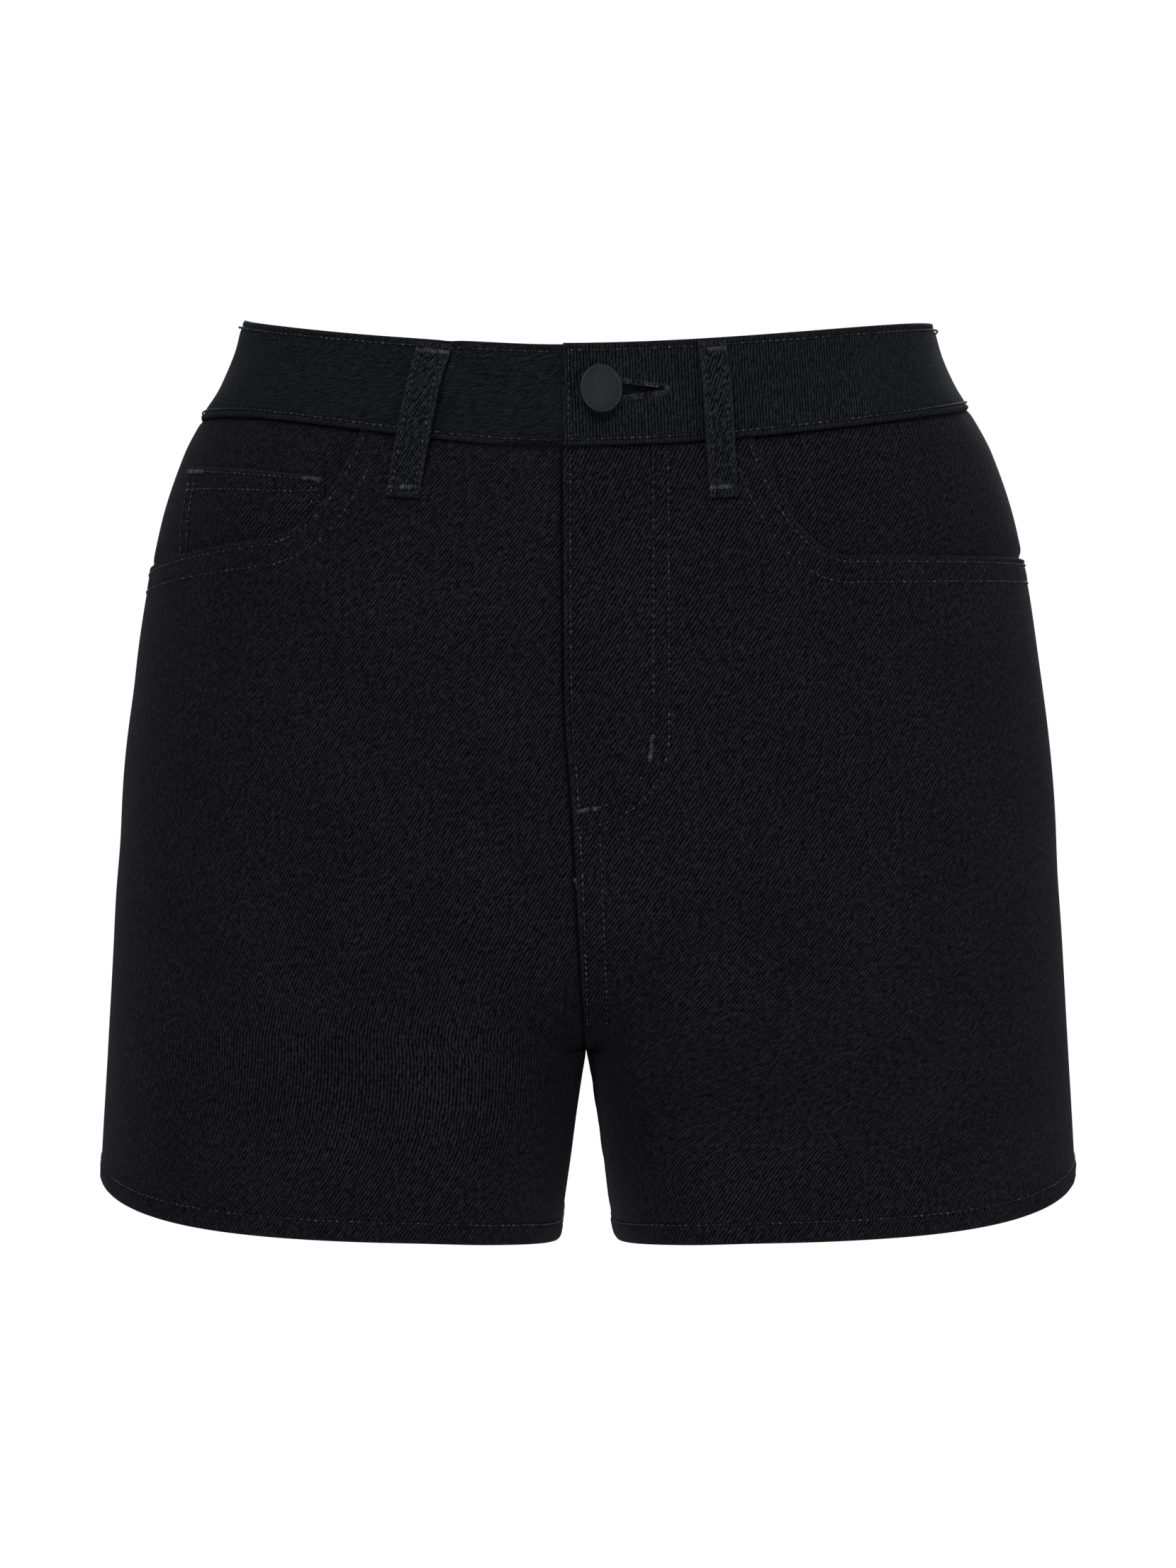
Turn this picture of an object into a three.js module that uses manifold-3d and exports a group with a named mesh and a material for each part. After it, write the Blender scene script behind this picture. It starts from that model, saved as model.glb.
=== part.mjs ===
// Black denim shorts with a high waist and a five-pocket cut, filled out with no wearer.
// Millimetres, +Z up. The front faces -Y, and +X is the wearer's left.
// The origin is the middle of the waist, where the wearer holds the garment.
import * as THREE from 'three';
import Module from 'manifold-3d';
import { mergeVertices } from 'three/addons/utils/BufferGeometryUtils.js';

const wasm = await Module();
wasm.setup();

// Cloth
const CLOTH = 1.2; // one panel's wall
const SEAM = 0.3; // room between two pieces at a seam, or between two layers
const PATCH_LIFT = 0.6; // room under a pocket that lies on a panel
const HEM_DEPTH = 9.5; // the turned-up edge at each leg, two layers
const HEM_STEP = 1; // the height over which the wall thickens into the hem

// Waistband: a folded strip, its wearer's left end over its right end
const BAND_OUT = 0.6; // how far it stands proud of the panels
const BAND_WALL = 2.4;
const BAND_UNDERLAP = 39; // how far the right end runs on behind the left end
const BAND_SINK = { from: 46, to: 12 }; // where the right end eases inwards, from the centre line

// Heights of the waistband's edges, the crotch and the hem.
// Bend says how soon an edge leaves its side height for its front or back height.
const TOP = { front: 5.3, back: 24, left: 21.7, right: 24.1, bend: { left: 1.65, right: 1.35 } };
const WAIST_SEAM = { front: -30.6, back: -12, left: -9, right: -14, bend: { left: 1.6, right: 3 } };
const ROW_BEND = 1.7; // the same for the rows further down
const CROTCH = { z: -247, side: -234, front: 60, back: 95 }; // front and back: height of the curve
// The hem rises to the side seam, at first slowly and then in a curve, and drops at the inseam.
const HEM = { z: -313, slope: 2.5, slopeWidth: 0.7, rise: 15.5, riseWidth: 0.2, drop: 5 };

// The body, from the waist down: half width, and depth before and behind the side seams
const BODY = [
  { z: 27, half: 129.2, front: 97, back: 96 },
  { z: 12, half: 131.9, front: 97.5, back: 98 },
  { z: -1, half: 137.3, front: 98.5, back: 100 },
  { z: -14, half: 145.2, front: 99.5, back: 102.5 },
  { z: -27, half: 151.9, front: 100.5, back: 105 },
  { z: -52, half: 160.2, front: 103, back: 110 },
  { z: -90, half: 167.2, front: 106.5, back: 117 },
  { z: -135, half: 173, front: 108, back: 121 },
  { z: -175, half: 176.2, front: 108, back: 122 },
  { z: -212, half: 178, front: 106.5, back: 119 },
  { z: -250, half: 180.1, front: 104.5, back: 114 },
  { z: -296, half: 182.7, front: 102, back: 110 },
  { z: -335, half: 183.8, front: 101, back: 109 },
];
// How far the fly edge lies from the centre line
const FLY_LINE = [
  { z: 30, x: -8.9 },
  { z: -55, x: -8.8 },
  { z: -125, x: -8.1 },
  { z: -150, x: -6.3 },
  { z: -175, x: -4.6 },
  { z: -247, x: -1.6 },
];
// The legs between the crotch and the hem: half the space between them at the hem, how square
// their sections are, how far they lean to the centre, and their share of the body's depth
const LEG = { gap: 9.9, gapDepth: 66, gapPower: 0.85, squareTop: 2.5, squareHem: 2.2, lean: 22, flat: 0.95 };
const TURN = { end: 1.7, centre: 0.16 }; // the row where the leg's shape is whole, and the seam's reach
const INSEAM_Y = { crotch: -25, hem: -16 };
const SQUARE = 2.25; // how square the body's sections are, 2 for an ellipse
const SIDE_ANGLE = THREE.MathUtils.degToRad(92.5); // the side seam lies just behind the side
// About how long the cloth is: half the front's and half the back's width, and seam to crotch
const SPAN = { front: 172, back: 190, rise: 220 };

// Front pockets: the mouth's edge runs from the waist seam down and out to the side seam.
// Distances from the centre line as seen from the front, and drops below the start.
const MOUTH = {
  left: { start: 58.6, bend: [15, 41.5], land: [35, 42], sideZ: -66 },
  right: { start: 80.7, bend: [14.5, 34], land: [31, 37], sideZ: -71 },
};
const FACING_UNDER = 12; // how far the facing runs on under the front
const FACING_DEPTH = { left: 1.6, right: 3.1, seam: 1.6 }; // its face below the front's face
const COIN = { inner: [95, -40.3], outer: [147, -33], flare: 7, under: 8, wall: 0.9 };

// Fly
const SHIELD = { before: 14, behind: 34, bottom: -166, depth: 1.6, wall: 1.4 };

// Back: yoke drops below the waist seam, and the pockets on the back panels
const YOKE = { side: 27, centre: 58 };
const BACK_POCKET = { x: 82, top: -92, topHalf: 54, lowHalf: 50, height: 118, point: 15, tilt: 5 };

// Belt loops: a folded strip, centre line at the top and at the foot as seen from its own side
const LOOP = { wall: 1.8, arch: 2.6, length: 56 };
const LOOPS = [
  { name: 'belt_loop_front_left', side: 1, face: 'front', top: 43.5, foot: 47.7, width: 10 },
  { name: 'belt_loop_front_right', side: -1, face: 'front', top: 54, foot: 65.5, width: 11.8 },
  { name: 'belt_loop_side_left', side: 1, face: 'back', top: 104, foot: 110, width: 11 },
  { name: 'belt_loop_side_right', side: -1, face: 'back', top: 104, foot: 110, width: 11 },
  { name: 'belt_loop_back', side: 1, face: 'back', top: 0, foot: 0, width: 11 },
];

// Button, and the hole that it comes through
const BUTTON = { x: 4.5, z: -10.8, radius: 8.5, thick: 2.4, stand: 5.6, tilt: 30, post: 2.3 };
const BUTTONHOLE = { x: 4.5, z: -10.8, eye: 3.1, slit: 0.8, end: 27.5 };
const TACK = { radius: 4.8, thick: 0.9 };

const lerp = THREE.MathUtils.lerp;
const clamp = THREE.MathUtils.clamp;
const smooth = (low, high, x) => THREE.MathUtils.smoothstep(x, low, high);

// A value from a table by height, along a smooth curve through its rows.
function read(table, column, z) {
  const last = table.length - 1;
  let i = 0;
  while (i < last - 1 && z < table[i + 1].z) i += 1;
  const slope = (a, b) => (table[b][column] - table[a][column]) / (table[b].z - table[a].z);
  const step = table[i + 1].z - table[i].z;
  const t = clamp((z - table[i].z) / step, 0, 1);
  const m0 = slope(Math.max(i - 1, 0), i + 1) * step;
  const m1 = slope(i, Math.min(i + 2, last)) * step;
  const t2 = t * t;
  const t3 = t2 * t;
  return (
    (2 * t3 - 3 * t2 + 1) * table[i][column] +
    (t3 - 2 * t2 + t) * m0 +
    (3 * t2 - 2 * t3) * table[i + 1][column] +
    (t3 - t2) * m1
  );
}

// Half the space between the legs.
function legGap(z) {
  const below = Math.max(CROTCH.z - z, 0) / LEG.gapDepth;
  return SEAM / 2 + LEG.gap * below ** LEG.gapPower;
}

// A point of the body's round section, at an angle from the front's centre.
function bodyPoint(z, angle) {
  const depth = Math.cos(angle) > 0 ? read(BODY, 'front', z) : read(BODY, 'back', z);
  const across = Math.abs(Math.sin(angle) / read(BODY, 'half', z)) ** SQUARE;
  const r = (across + Math.abs(Math.cos(angle) / depth) ** SQUARE) ** (-1 / SQUARE);
  return [r * Math.sin(angle), -r * Math.cos(angle)];
}

// A point of one leg's section, at an angle from the leg's front.
function legPoint(z, angle) {
  const down = clamp((CROTCH.z - z) / (CROTCH.z - HEM.z), 0, 1);
  const square = lerp(LEG.squareTop, LEG.squareHem, down);
  const outer = read(BODY, 'half', z);
  const inner = legGap(z);
  const inseam = lerp(INSEAM_Y.crotch, INSEAM_Y.hem, down);
  const shear = (inseam * (1 - Math.sin(angle))) / 2;
  const forward = Math.cos(angle) > 0;
  const reach = LEG.flat * read(BODY, forward ? 'front' : 'back', z);
  const depth = forward ? reach + inseam / 2 : reach - inseam / 2;
  const across = Math.abs((2 * Math.sin(angle)) / (outer - inner)) ** square;
  const r = (across + Math.abs(Math.cos(angle) / depth) ** square) ** (-1 / square);
  const middle = (outer + inner) / 2 - LEG.lean * Math.cos(angle) ** 2;
  return [middle + r * Math.sin(angle), shear - r * Math.cos(angle)];
}

// Angles that divide each section into equal lengths of cloth, found once for many heights.
const LEVELS = { top: 32, bottom: -336, step: 4, parts: 24, fine: 96 };

function equalAngles(pointAt, z, from, to) {
  const lengths = [0];
  let before = pointAt(z, from);
  for (let i = 1; i <= LEVELS.fine; i += 1) {
    const here = pointAt(z, lerp(from, to, i / LEVELS.fine));
    lengths.push(lengths[i - 1] + Math.hypot(here[0] - before[0], here[1] - before[1]));
    before = here;
  }
  const angles = [from];
  let i = 1;
  for (let part = 1; part < LEVELS.parts; part += 1) {
    const goal = (lengths[LEVELS.fine] * part) / LEVELS.parts;
    while (lengths[i] < goal) i += 1;
    const t = (goal - lengths[i - 1]) / (lengths[i] - lengths[i - 1]);
    angles.push(lerp(from, to, (i - 1 + t) / LEVELS.fine));
  }
  angles.push(to);
  return angles;
}

function flyAngle(side, z) {
  return Math.atan((side * read(FLY_LINE, 'x', z)) / read(BODY, 'front', z));
}

const angleTables = {};
for (const side of [1, -1]) {
  const rows = { bodyFront: [], bodyBack: [], legFront: [], legBack: [] };
  for (let z = LEVELS.top; z >= LEVELS.bottom; z -= LEVELS.step) {
    rows.bodyFront.push(equalAngles(bodyPoint, z, flyAngle(side, z), SIDE_ANGLE));
    rows.bodyBack.push(equalAngles(bodyPoint, z, SIDE_ANGLE, Math.PI));
    rows.legFront.push(equalAngles(legPoint, z, -Math.PI / 2, SIDE_ANGLE));
    rows.legBack.push(equalAngles(legPoint, z, SIDE_ANGLE, 1.5 * Math.PI));
  }
  angleTables[side] = rows;
}

// The angle at a share of a section's length, between the heights and parts of its table.
function angleAt(side, kind, share, z) {
  const rows = angleTables[side][kind];
  const level = clamp((LEVELS.top - z) / LEVELS.step, 0, rows.length - 1.001);
  const part = clamp(share * LEVELS.parts, 0, LEVELS.parts - 1e-6);
  const [l, p] = [Math.floor(level), Math.floor(part)];
  const upper = lerp(rows[l][p], rows[l][p + 1], part - p);
  const lower = lerp(rows[l + 1][p], rows[l + 1][p + 1], part - p);
  return lerp(upper, lower, level - l);
}

// The centre seams run straight down and then along a quarter ellipse under the body.
// Rows go from -1 at the waistband's top over 0 at the waist seam and 1 at the crotch to 2.
function centreSeam(row, face) {
  const height = CROTCH[face];
  const straight = WAIST_SEAM[face] - CROTCH.z - height;
  const reach = read(BODY, face, CROTCH.z + height) + (face === 'front' ? 1 : -1) * INSEAM_Y.crotch;
  const curve = (Math.PI / 4) * (height + reach);
  const bendRow = straight / (straight + curve);
  const soft = smooth(bendRow, TURN.end, row);
  if (row <= bendRow) return { z: WAIST_SEAM[face] - (straight * row) / bendRow, hard: 0, soft };
  const angle = (Math.min((row - bendRow) / (1 - bendRow), 1) * Math.PI) / 2;
  return { z: CROTCH.z + height * (1 - Math.sin(angle)), hard: 1 - Math.cos(angle), soft };
}

// Height of one of the waistband's edges at a place round the half.
function edgeHeight(edge, side, round) {
  const flank = side > 0 ? 'left' : 'right';
  const bend = round < 1 ? edge.bend[flank] : ROW_BEND;
  const centring = Math.abs(Math.cos((round * Math.PI) / 2)) ** bend;
  return lerp(edge[flank], edge[round < 1 ? 'front' : 'back'], centring);
}

function hemHeight(round) {
  const d = Math.abs(round - 1);
  const slope = HEM.slope * Math.max(1 - d / HEM.slopeWidth, 0);
  const rise = HEM.rise * Math.exp(-((d / HEM.riseWidth) ** 1.5));
  return HEM.z + slope + rise - HEM.drop * smooth(0.6, 1, d);
}

// Height of a row at a place round the half: 0 centre front, 1 side seam, 2 centre back.
function rowHeight(side, round, row) {
  if (row > 1) return lerp(rowHeight(side, round, 1), hemHeight(round), row - 1);
  const seamHeight = edgeHeight(WAIST_SEAM, side, round);
  if (row <= 0) return lerp(seamHeight, edgeHeight(TOP, side, round), -row);
  const face = round < 1 ? 'front' : 'back';
  const flank = side > 0 ? 'left' : 'right';
  const centring = Math.abs(Math.cos((round * Math.PI) / 2)) ** ROW_BEND;
  const atSide = lerp(WAIST_SEAM[flank], CROTCH.side, row);
  const straight = lerp(atSide, centreSeam(row, face).z, centring);
  const atSeam = lerp(WAIST_SEAM[flank], WAIST_SEAM[face], centring);
  return straight + (seamHeight - atSeam) * (1 - smooth(0, 0.5, row));
}

// How far the section has turned from the body's into the leg's.
function legShare(round, row) {
  if (row >= TURN.end) return 1;
  if (row <= 0) return 0;
  const shareOf = (face, fromCentre) => {
    const seam = centreSeam(row, face);
    return lerp(seam.soft, seam.hard, Math.exp(-((fromCentre / TURN.centre) ** 2)));
  };
  return lerp(shareOf('front', round), shareOf('back', 2 - round), smooth(0.6, 1.4, round));
}

// The garment's outer face: one half, a place round it and a row.
function surface(side, round, row) {
  const z = rowHeight(side, round, row);
  const share = legShare(round, row);
  const front = round < 1;
  const part = front ? round : round - 1;
  let [x, y] = [0, 0];
  if (share < 1) {
    const angle = angleAt(side, front ? 'bodyFront' : 'bodyBack', part, z);
    [x, y] = bodyPoint(z, angle);
  }
  if (share > 0) {
    const angle = angleAt(side, front ? 'legFront' : 'legBack', part, z);
    const [legX, legY] = legPoint(z, angle);
    x = lerp(x, legX, share);
    y = lerp(y, legY, share);
  }
  return new THREE.Vector3(side * x, y, z);
}

// A point moved out from the face, or in where the distance is negative.
function offset(side, round, row, out) {
  const step = 0.004;
  const r = clamp(round, step, 2 - step);
  const along = surface(side, r + step, row).sub(surface(side, r - step, row));
  const down = surface(side, round, row + step).sub(surface(side, round, row - step));
  const normal = down.cross(along).multiplyScalar(side).normalize();
  return surface(side, round, row).addScaledVector(normal, out);
}

// The row at a height, and the place at a distance from the centre line seen from one face.
function rowAt(side, round, z) {
  let [high, low] = [-1.2, 2];
  for (let i = 0; i < 30; i += 1) {
    const middle = (high + low) / 2;
    if (rowHeight(side, round, middle) > z) high = middle;
    else low = middle;
  }
  return (high + low) / 2;
}

function placeAt(side, face, x, z) {
  let [near, far] = face === 'front' ? [0, 1] : [2, 1];
  for (let i = 0; i < 26; i += 1) {
    const middle = (near + far) / 2;
    if (Math.abs(surface(side, middle, rowAt(side, middle, z)).x) < x) near = middle;
    else far = middle;
  }
  const round = (near + far) / 2;
  return { round, row: rowAt(side, round, z) };
}

// A point over the garment by its distance from the centre line and its height.
function over(side, face, x, z, out) {
  const { round, row } = placeAt(side, face, x, z);
  return offset(side, round, row, out);
}

// One closed wall between an outer and an inner grid of points.
function wall(outer, inner) {
  const rows = outer.length;
  const columns = outer[0].length;
  const points = [...outer.flat(), ...inner.flat()].flatMap((p) => [p.x, p.y, p.z]);
  const under = rows * columns;
  const at = (i, j) => i * columns + j;
  const faces = [];
  const quad = (a, b, c, d) => faces.push(a, b, c, a, c, d);
  for (let i = 0; i + 1 < rows; i += 1) {
    for (let j = 0; j + 1 < columns; j += 1) {
      quad(at(i, j), at(i + 1, j), at(i + 1, j + 1), at(i, j + 1));
      const [a, b] = [at(i, j) + under, at(i + 1, j) + under];
      quad(a, a + 1, b + 1, b);
    }
  }
  for (let j = 0; j + 1 < columns; j += 1) {
    const [top, foot] = [at(0, j), at(rows - 1, j)];
    quad(top, top + 1, top + 1 + under, top + under);
    quad(foot, foot + under, foot + 1 + under, foot + 1);
  }
  for (let i = 0; i + 1 < rows; i += 1) {
    const [first, last] = [at(i, 0), at(i, columns - 1)];
    quad(first, first + under, first + columns + under, first + columns);
    quad(last, last + columns, last + columns + under, last + under);
  }
  const geometry = new THREE.BufferGeometry();
  geometry.setAttribute('position', new THREE.Float32BufferAttribute(points, 3));
  geometry.setIndex(faces);
  return facingOut(geometry);
}

// Turns every face over where the solid would be inside out.
function facingOut(geometry) {
  const at = geometry.getAttribute('position');
  const index = geometry.getIndex();
  const [a, b, c] = [new THREE.Vector3(), new THREE.Vector3(), new THREE.Vector3()];
  let volume = 0;
  for (let i = 0; i < index.count; i += 3) {
    a.fromBufferAttribute(at, index.getX(i));
    b.fromBufferAttribute(at, index.getX(i + 1));
    c.fromBufferAttribute(at, index.getX(i + 2));
    volume += a.dot(b.cross(c));
  }
  if (volume < 0) geometry.setIndex([...index.array].reverse());
  return geometry;
}

// Every point of a grid moved in along the average of the faces that meet at it.
function inwards(outer, side, depthAt) {
  const faceNormal = (i, j) => {
    const across = outer[i + 1][j + 1].clone().sub(outer[i][j]);
    const other = outer[i + 1][j].clone().sub(outer[i][j + 1]);
    return other.cross(across).multiplyScalar(side);
  };
  return outer.map((line, i) =>
    line.map((point, j) => {
      const normal = new THREE.Vector3();
      for (const [m, n] of [[i - 1, j - 1], [i - 1, j], [i, j - 1], [i, j]]) {
        if (m >= 0 && n >= 0 && m + 1 < outer.length && n + 1 < line.length) {
          normal.add(faceNormal(m, n));
        }
      }
      return point.clone().addScaledVector(normal.normalize(), -depthAt(i, j));
    }),
  );
}

function toSolid(geometry) {
  const plain = geometry.clone();
  plain.deleteAttribute('normal');
  plain.deleteAttribute('uv');
  const merged = mergeVertices(plain, 1e-4);
  return new wasm.Manifold(
    new wasm.Mesh({
      numProp: 3,
      vertProperties: new Float32Array(merged.getAttribute('position').array),
      triVerts: new Uint32Array(merged.getIndex().array),
    }),
  );
}

function toGeometry(solid) {
  const mesh = solid.getMesh();
  const geometry = new THREE.BufferGeometry();
  geometry.setAttribute('position', new THREE.BufferAttribute(mesh.vertProperties, 3));
  geometry.setIndex(new THREE.BufferAttribute(mesh.triVerts, 1));
  return geometry;
}

// Height of the pocket mouth's edge at a distance from the centre line.
function mouthPoint(flank, t) {
  const { start, bend, land } = MOUTH[flank];
  const z = waistSeamHeight(flank, start);
  const across = 2 * t * (1 - t) * bend[0] + t * t * land[0];
  const drop = 2 * t * (1 - t) * bend[1] + t * t * land[1];
  return { x: start + across, z: z - drop };
}

function waistSeamHeight(flank, x) {
  const side = flank === 'left' ? 1 : -1;
  let round = 0.4;
  for (let i = 0; i < 6; i += 1) {
    const reached = Math.abs(surface(side, round, 0).x);
    round *= x / reached;
  }
  return rowHeight(side, round, 0);
}

// The rows of a front pocket mouth by place round the half, from its start to the side seam.
function mouthCurve(flank) {
  const side = flank === 'left' ? 1 : -1;
  const curve = [];
  for (let i = 0; i <= 7; i += 1) {
    const { x, z } = mouthPoint(flank, i / 7);
    curve.push(placeAt(side, 'front', x, z));
  }
  const landed = curve[curve.length - 1].round;
  const landedZ = mouthPoint(flank, 1).z;
  for (const share of [0.15, 0.3, 0.45, 0.6, 0.73, 0.87, 1]) {
    const round = lerp(landed, 1, share);
    curve.push({ round, row: rowAt(side, round, lerp(landedZ, MOUTH[flank].sideZ, share)) });
  }
  curve[0].row = 0;
  return curve;
}

const mouths = { left: mouthCurve('left'), right: mouthCurve('right') };

function rowOnCurve(curve, round) {
  if (round <= curve[0].round) return curve[0].row;
  let i = 1;
  while (i < curve.length - 1 && curve[i].round < round) i += 1;
  const span = curve[i].round - curve[i - 1].round;
  return lerp(curve[i - 1].row, curve[i].row, clamp((round - curve[i - 1].round) / span, 0, 1));
}

// Rows down a panel: evenly to the crotch, then down the leg to the hem's thicker edge.
function panelRows(topRow, round, count) {
  const legHeight = rowHeight(1, round, 1) - hemHeight(round);
  const rows = [];
  for (let i = 0; i < count; i += 1) rows.push(lerp(topRow, 1, i / count));
  for (const share of [0, 0.22, 0.44, 0.66]) rows.push(1 + share);
  rows.push(2 - (HEM_DEPTH + HEM_STEP) / legHeight);
  rows.push(2 - HEM_DEPTH / legHeight);
  rows.push(2);
  return rows;
}

function panel(side, rounds, topRowAt, count) {
  const columns = rounds.map((round) => panelRows(topRowAt(round), round, count));
  const outer = columns[0].map((_, i) =>
    columns.map((rows, j) => surface(side, rounds[j], rows[i])),
  );
  const hemFrom = outer.length - 2;
  const depthAt = (i) => (i >= hemFrom ? 2 * CLOTH : CLOTH);
  const inner = inwards(outer, side, depthAt);
  const seam = rounds[0] < 1 ? rounds.length - 1 : 0;
  columns[seam].forEach((row, i) => {
    inner[i][seam] = offset(side, rounds[seam], row, -depthAt(i));
  });
  return wall(outer, inner);
}

// The share of the way round that a seam's room takes.
const ROOM = { front: SEAM / 2 / SPAN.front, back: SEAM / 2 / SPAN.back, down: SEAM / SPAN.rise };

function frontPanel(side) {
  const flank = side > 0 ? 'left' : 'right';
  const curve = mouths[flank];
  const start = curve[0].round;
  const inside = [0, 0.07, 0.16, 0.28, 0.42, 0.58, 0.78].map((share) => lerp(ROOM.front, start, share));
  const rounds = [...inside, ...curve.map((point) => Math.min(point.round, 1 - ROOM.front))];
  return panel(side, rounds, (round) => Math.max(rowOnCurve(curve, round), ROOM.down), 9);
}

// The facing lies deeper where the coin pocket is on it, and comes up again at its seams.
function facingDepth(flank, round, row) {
  const inside = smooth(0, 0.06, row) * (1 - smooth(0.87, 1, round));
  return lerp(FACING_DEPTH.seam, FACING_DEPTH[flank], inside);
}

function facing(side) {
  const flank = side > 0 ? 'left' : 'right';
  const curve = mouths[flank];
  const shift = FACING_UNDER / SPAN.front;
  const first = curve[0].round - shift;
  const rounds = [first, lerp(first, curve[0].round, 0.5), ...curve.map((point) => point.round)];
  rounds[rounds.length - 1] = 1 - ROOM.front;
  const shares = [0, 0.1, 0.25, 0.5, 0.75, 1];
  const grid = (out) =>
    shares.map((share) =>
      rounds.map((round) => {
        const bottom = rowOnCurve(curve, round + shift) + FACING_UNDER / SPAN.rise;
        const row = lerp(ROOM.down, bottom, share);
        return offset(side, round, row, out - facingDepth(flank, round, row));
      }),
    );
  return wall(grid(0), grid(-CLOTH));
}

// The small coin pocket lies on the right facing and runs on under the front.
function coinPocket() {
  const columns = 9;
  const rows = 5;
  const grid = (out) => {
    const lines = [];
    for (let i = 0; i <= rows; i += 1) {
      const line = [];
      for (let j = 0; j <= columns; j += 1) {
        const share = j / columns;
        const x = lerp(COIN.inner[0], COIN.outer[0], share);
        const topZ = lerp(COIN.inner[1], COIN.outer[1], share);
        const { round } = placeAt(-1, 'front', x, topZ);
        const edge = rowOnCurve(mouths.right, round) + COIN.under / SPAN.rise;
        const footZ = rowHeight(-1, round, edge);
        const z = lerp(topZ, footZ, i / rows);
        const flare = (COIN.flare * share * i) / rows;
        const place = placeAt(-1, 'front', x + flare, z);
        const depth = facingDepth('right', place.round, place.row);
        line.push(offset(-1, place.round, place.row, out - depth));
      }
      lines.push(line);
    }
    return lines;
  };
  return wall(grid(SEAM + COIN.wall), grid(SEAM));
}

// The plain underlap behind the fly edge.
function flyShield() {
  const across = [-SHIELD.before, -6, 3, 12, 23, SHIELD.behind];
  const shares = [0, 0.25, 0.5, 0.75, 1];
  const grid = (out) =>
    shares.map((share) =>
      across.map((distance) => {
        const side = distance < 0 ? -1 : 1;
        const round = Math.abs(distance) / SPAN.front;
        const z = lerp(rowHeight(side, round, ROOM.down), SHIELD.bottom, share);
        return offset(side, round, rowAt(side, round, z), out);
      }),
    );
  return wall(grid(-SHIELD.depth), grid(-SHIELD.depth - SHIELD.wall));
}

function yokeRow(side, round) {
  const drop = lerp(YOKE.side, YOKE.centre, round - 1);
  return rowAt(side, round, rowHeight(side, round, 0) - drop);
}

function backRounds(count) {
  const rounds = [];
  for (let i = 0; i <= count; i += 1) {
    const share = i / count;
    rounds.push(lerp(1 + ROOM.back, 2 - ROOM.back, share));
  }
  return rounds;
}

function yoke(side) {
  const rounds = backRounds(12);
  const shares = [0, 1 / 3, 2 / 3, 1];
  const grid = (out) =>
    shares.map((share) =>
      rounds.map((round) => {
        const foot = yokeRow(side, round) - ROOM.down;
        return offset(side, round, lerp(ROOM.down, foot, share), out);
      }),
    );
  return wall(grid(0), grid(-CLOTH));
}

function backPanel(side) {
  const rounds = [...backRounds(16), 1.97].sort((a, b) => a - b);
  return panel(side, rounds, (round) => yokeRow(side, round), 11);
}

function backPocket(side) {
  const columns = 8;
  const rows = 10;
  const tilt = THREE.MathUtils.degToRad(BACK_POCKET.tilt);
  const grid = (out) => {
    const lines = [];
    for (let i = 0; i <= rows; i += 1) {
      const line = [];
      for (let j = 0; j <= columns; j += 1) {
        const share = (2 * j) / columns - 1;
        const down = i / rows;
        const half = lerp(BACK_POCKET.topHalf, BACK_POCKET.lowHalf, down);
        const point = BACK_POCKET.point * (1 - Math.abs(share)) * down;
        const across = half * share;
        const drop = BACK_POCKET.height * down + point;
        const x = BACK_POCKET.x + across * Math.cos(tilt) - drop * Math.sin(tilt) * 0.4;
        const z = BACK_POCKET.top - drop - across * Math.sin(tilt) * -1;
        line.push(over(side, 'back', x, z, out));
      }
      lines.push(line);
    }
    return lines;
  };
  return wall(grid(PATCH_LIFT + CLOTH), grid(PATCH_LIFT));
}

// Stations along the waistband, from the free end round the back to the underlap's end.
function bandStations() {
  const stations = [];
  const half = [];
  for (let i = 0; i <= 38; i += 1) half.push((2 * i) / 38);
  for (const round of half) stations.push({ side: 1, round, sink: 0 });
  const depth = BAND_WALL + SEAM;
  for (const round of half.slice(0, -1).reverse()) {
    const x = Math.abs(surface(-1, round, -0.5).x);
    const sink = round < 1 ? depth * (1 - smooth(BAND_SINK.to, BAND_SINK.from, x)) : 0;
    stations.push({ side: -1, round, sink });
  }
  const reach = placeAt(1, 'front', BAND_UNDERLAP + FLY_LINE[0].x, WAIST_SEAM.front).round;
  for (let i = 1; i <= 4; i += 1) {
    stations.push({ side: 1, round: (reach * i) / 4, sink: depth });
  }
  return stations;
}

function waistband() {
  const rows = [0, -0.33, -0.67, -1].reverse();
  const stations = bandStations();
  const grid = (out) =>
    rows.map((row) => stations.map(({ side, round, sink }) => offset(side, round, row, out - sink)));
  const band = toSolid(wall(grid(BAND_OUT), grid(BAND_OUT - BAND_WALL)));
  return toGeometry(band.subtract(toSolid(buttonhole())));
}

// What is cut out of the upper end of the waistband: a round eye with a long slit.
function buttonhole() {
  const { x, z, eye, slit, end } = BUTTONHOLE;
  const steps = [-1, -0.85, -0.5, 0, 0.5, 0.85, 0.966].map((share) => x + share * eye);
  const across = [...steps, lerp(x + eye, end, 0.3), lerp(x + eye, end, 0.65), end];
  const half = (at) => Math.max(slit, Math.sqrt(Math.max(eye ** 2 - (at - x) ** 2, 0)));
  const grid = (out) =>
    [1, -1].map((way) => across.map((at) => over(1, 'front', at, z + way * half(at), out)));
  return wall(grid(BAND_OUT + 1), grid(BAND_OUT - BAND_WALL - SEAM / 2));
}

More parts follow.
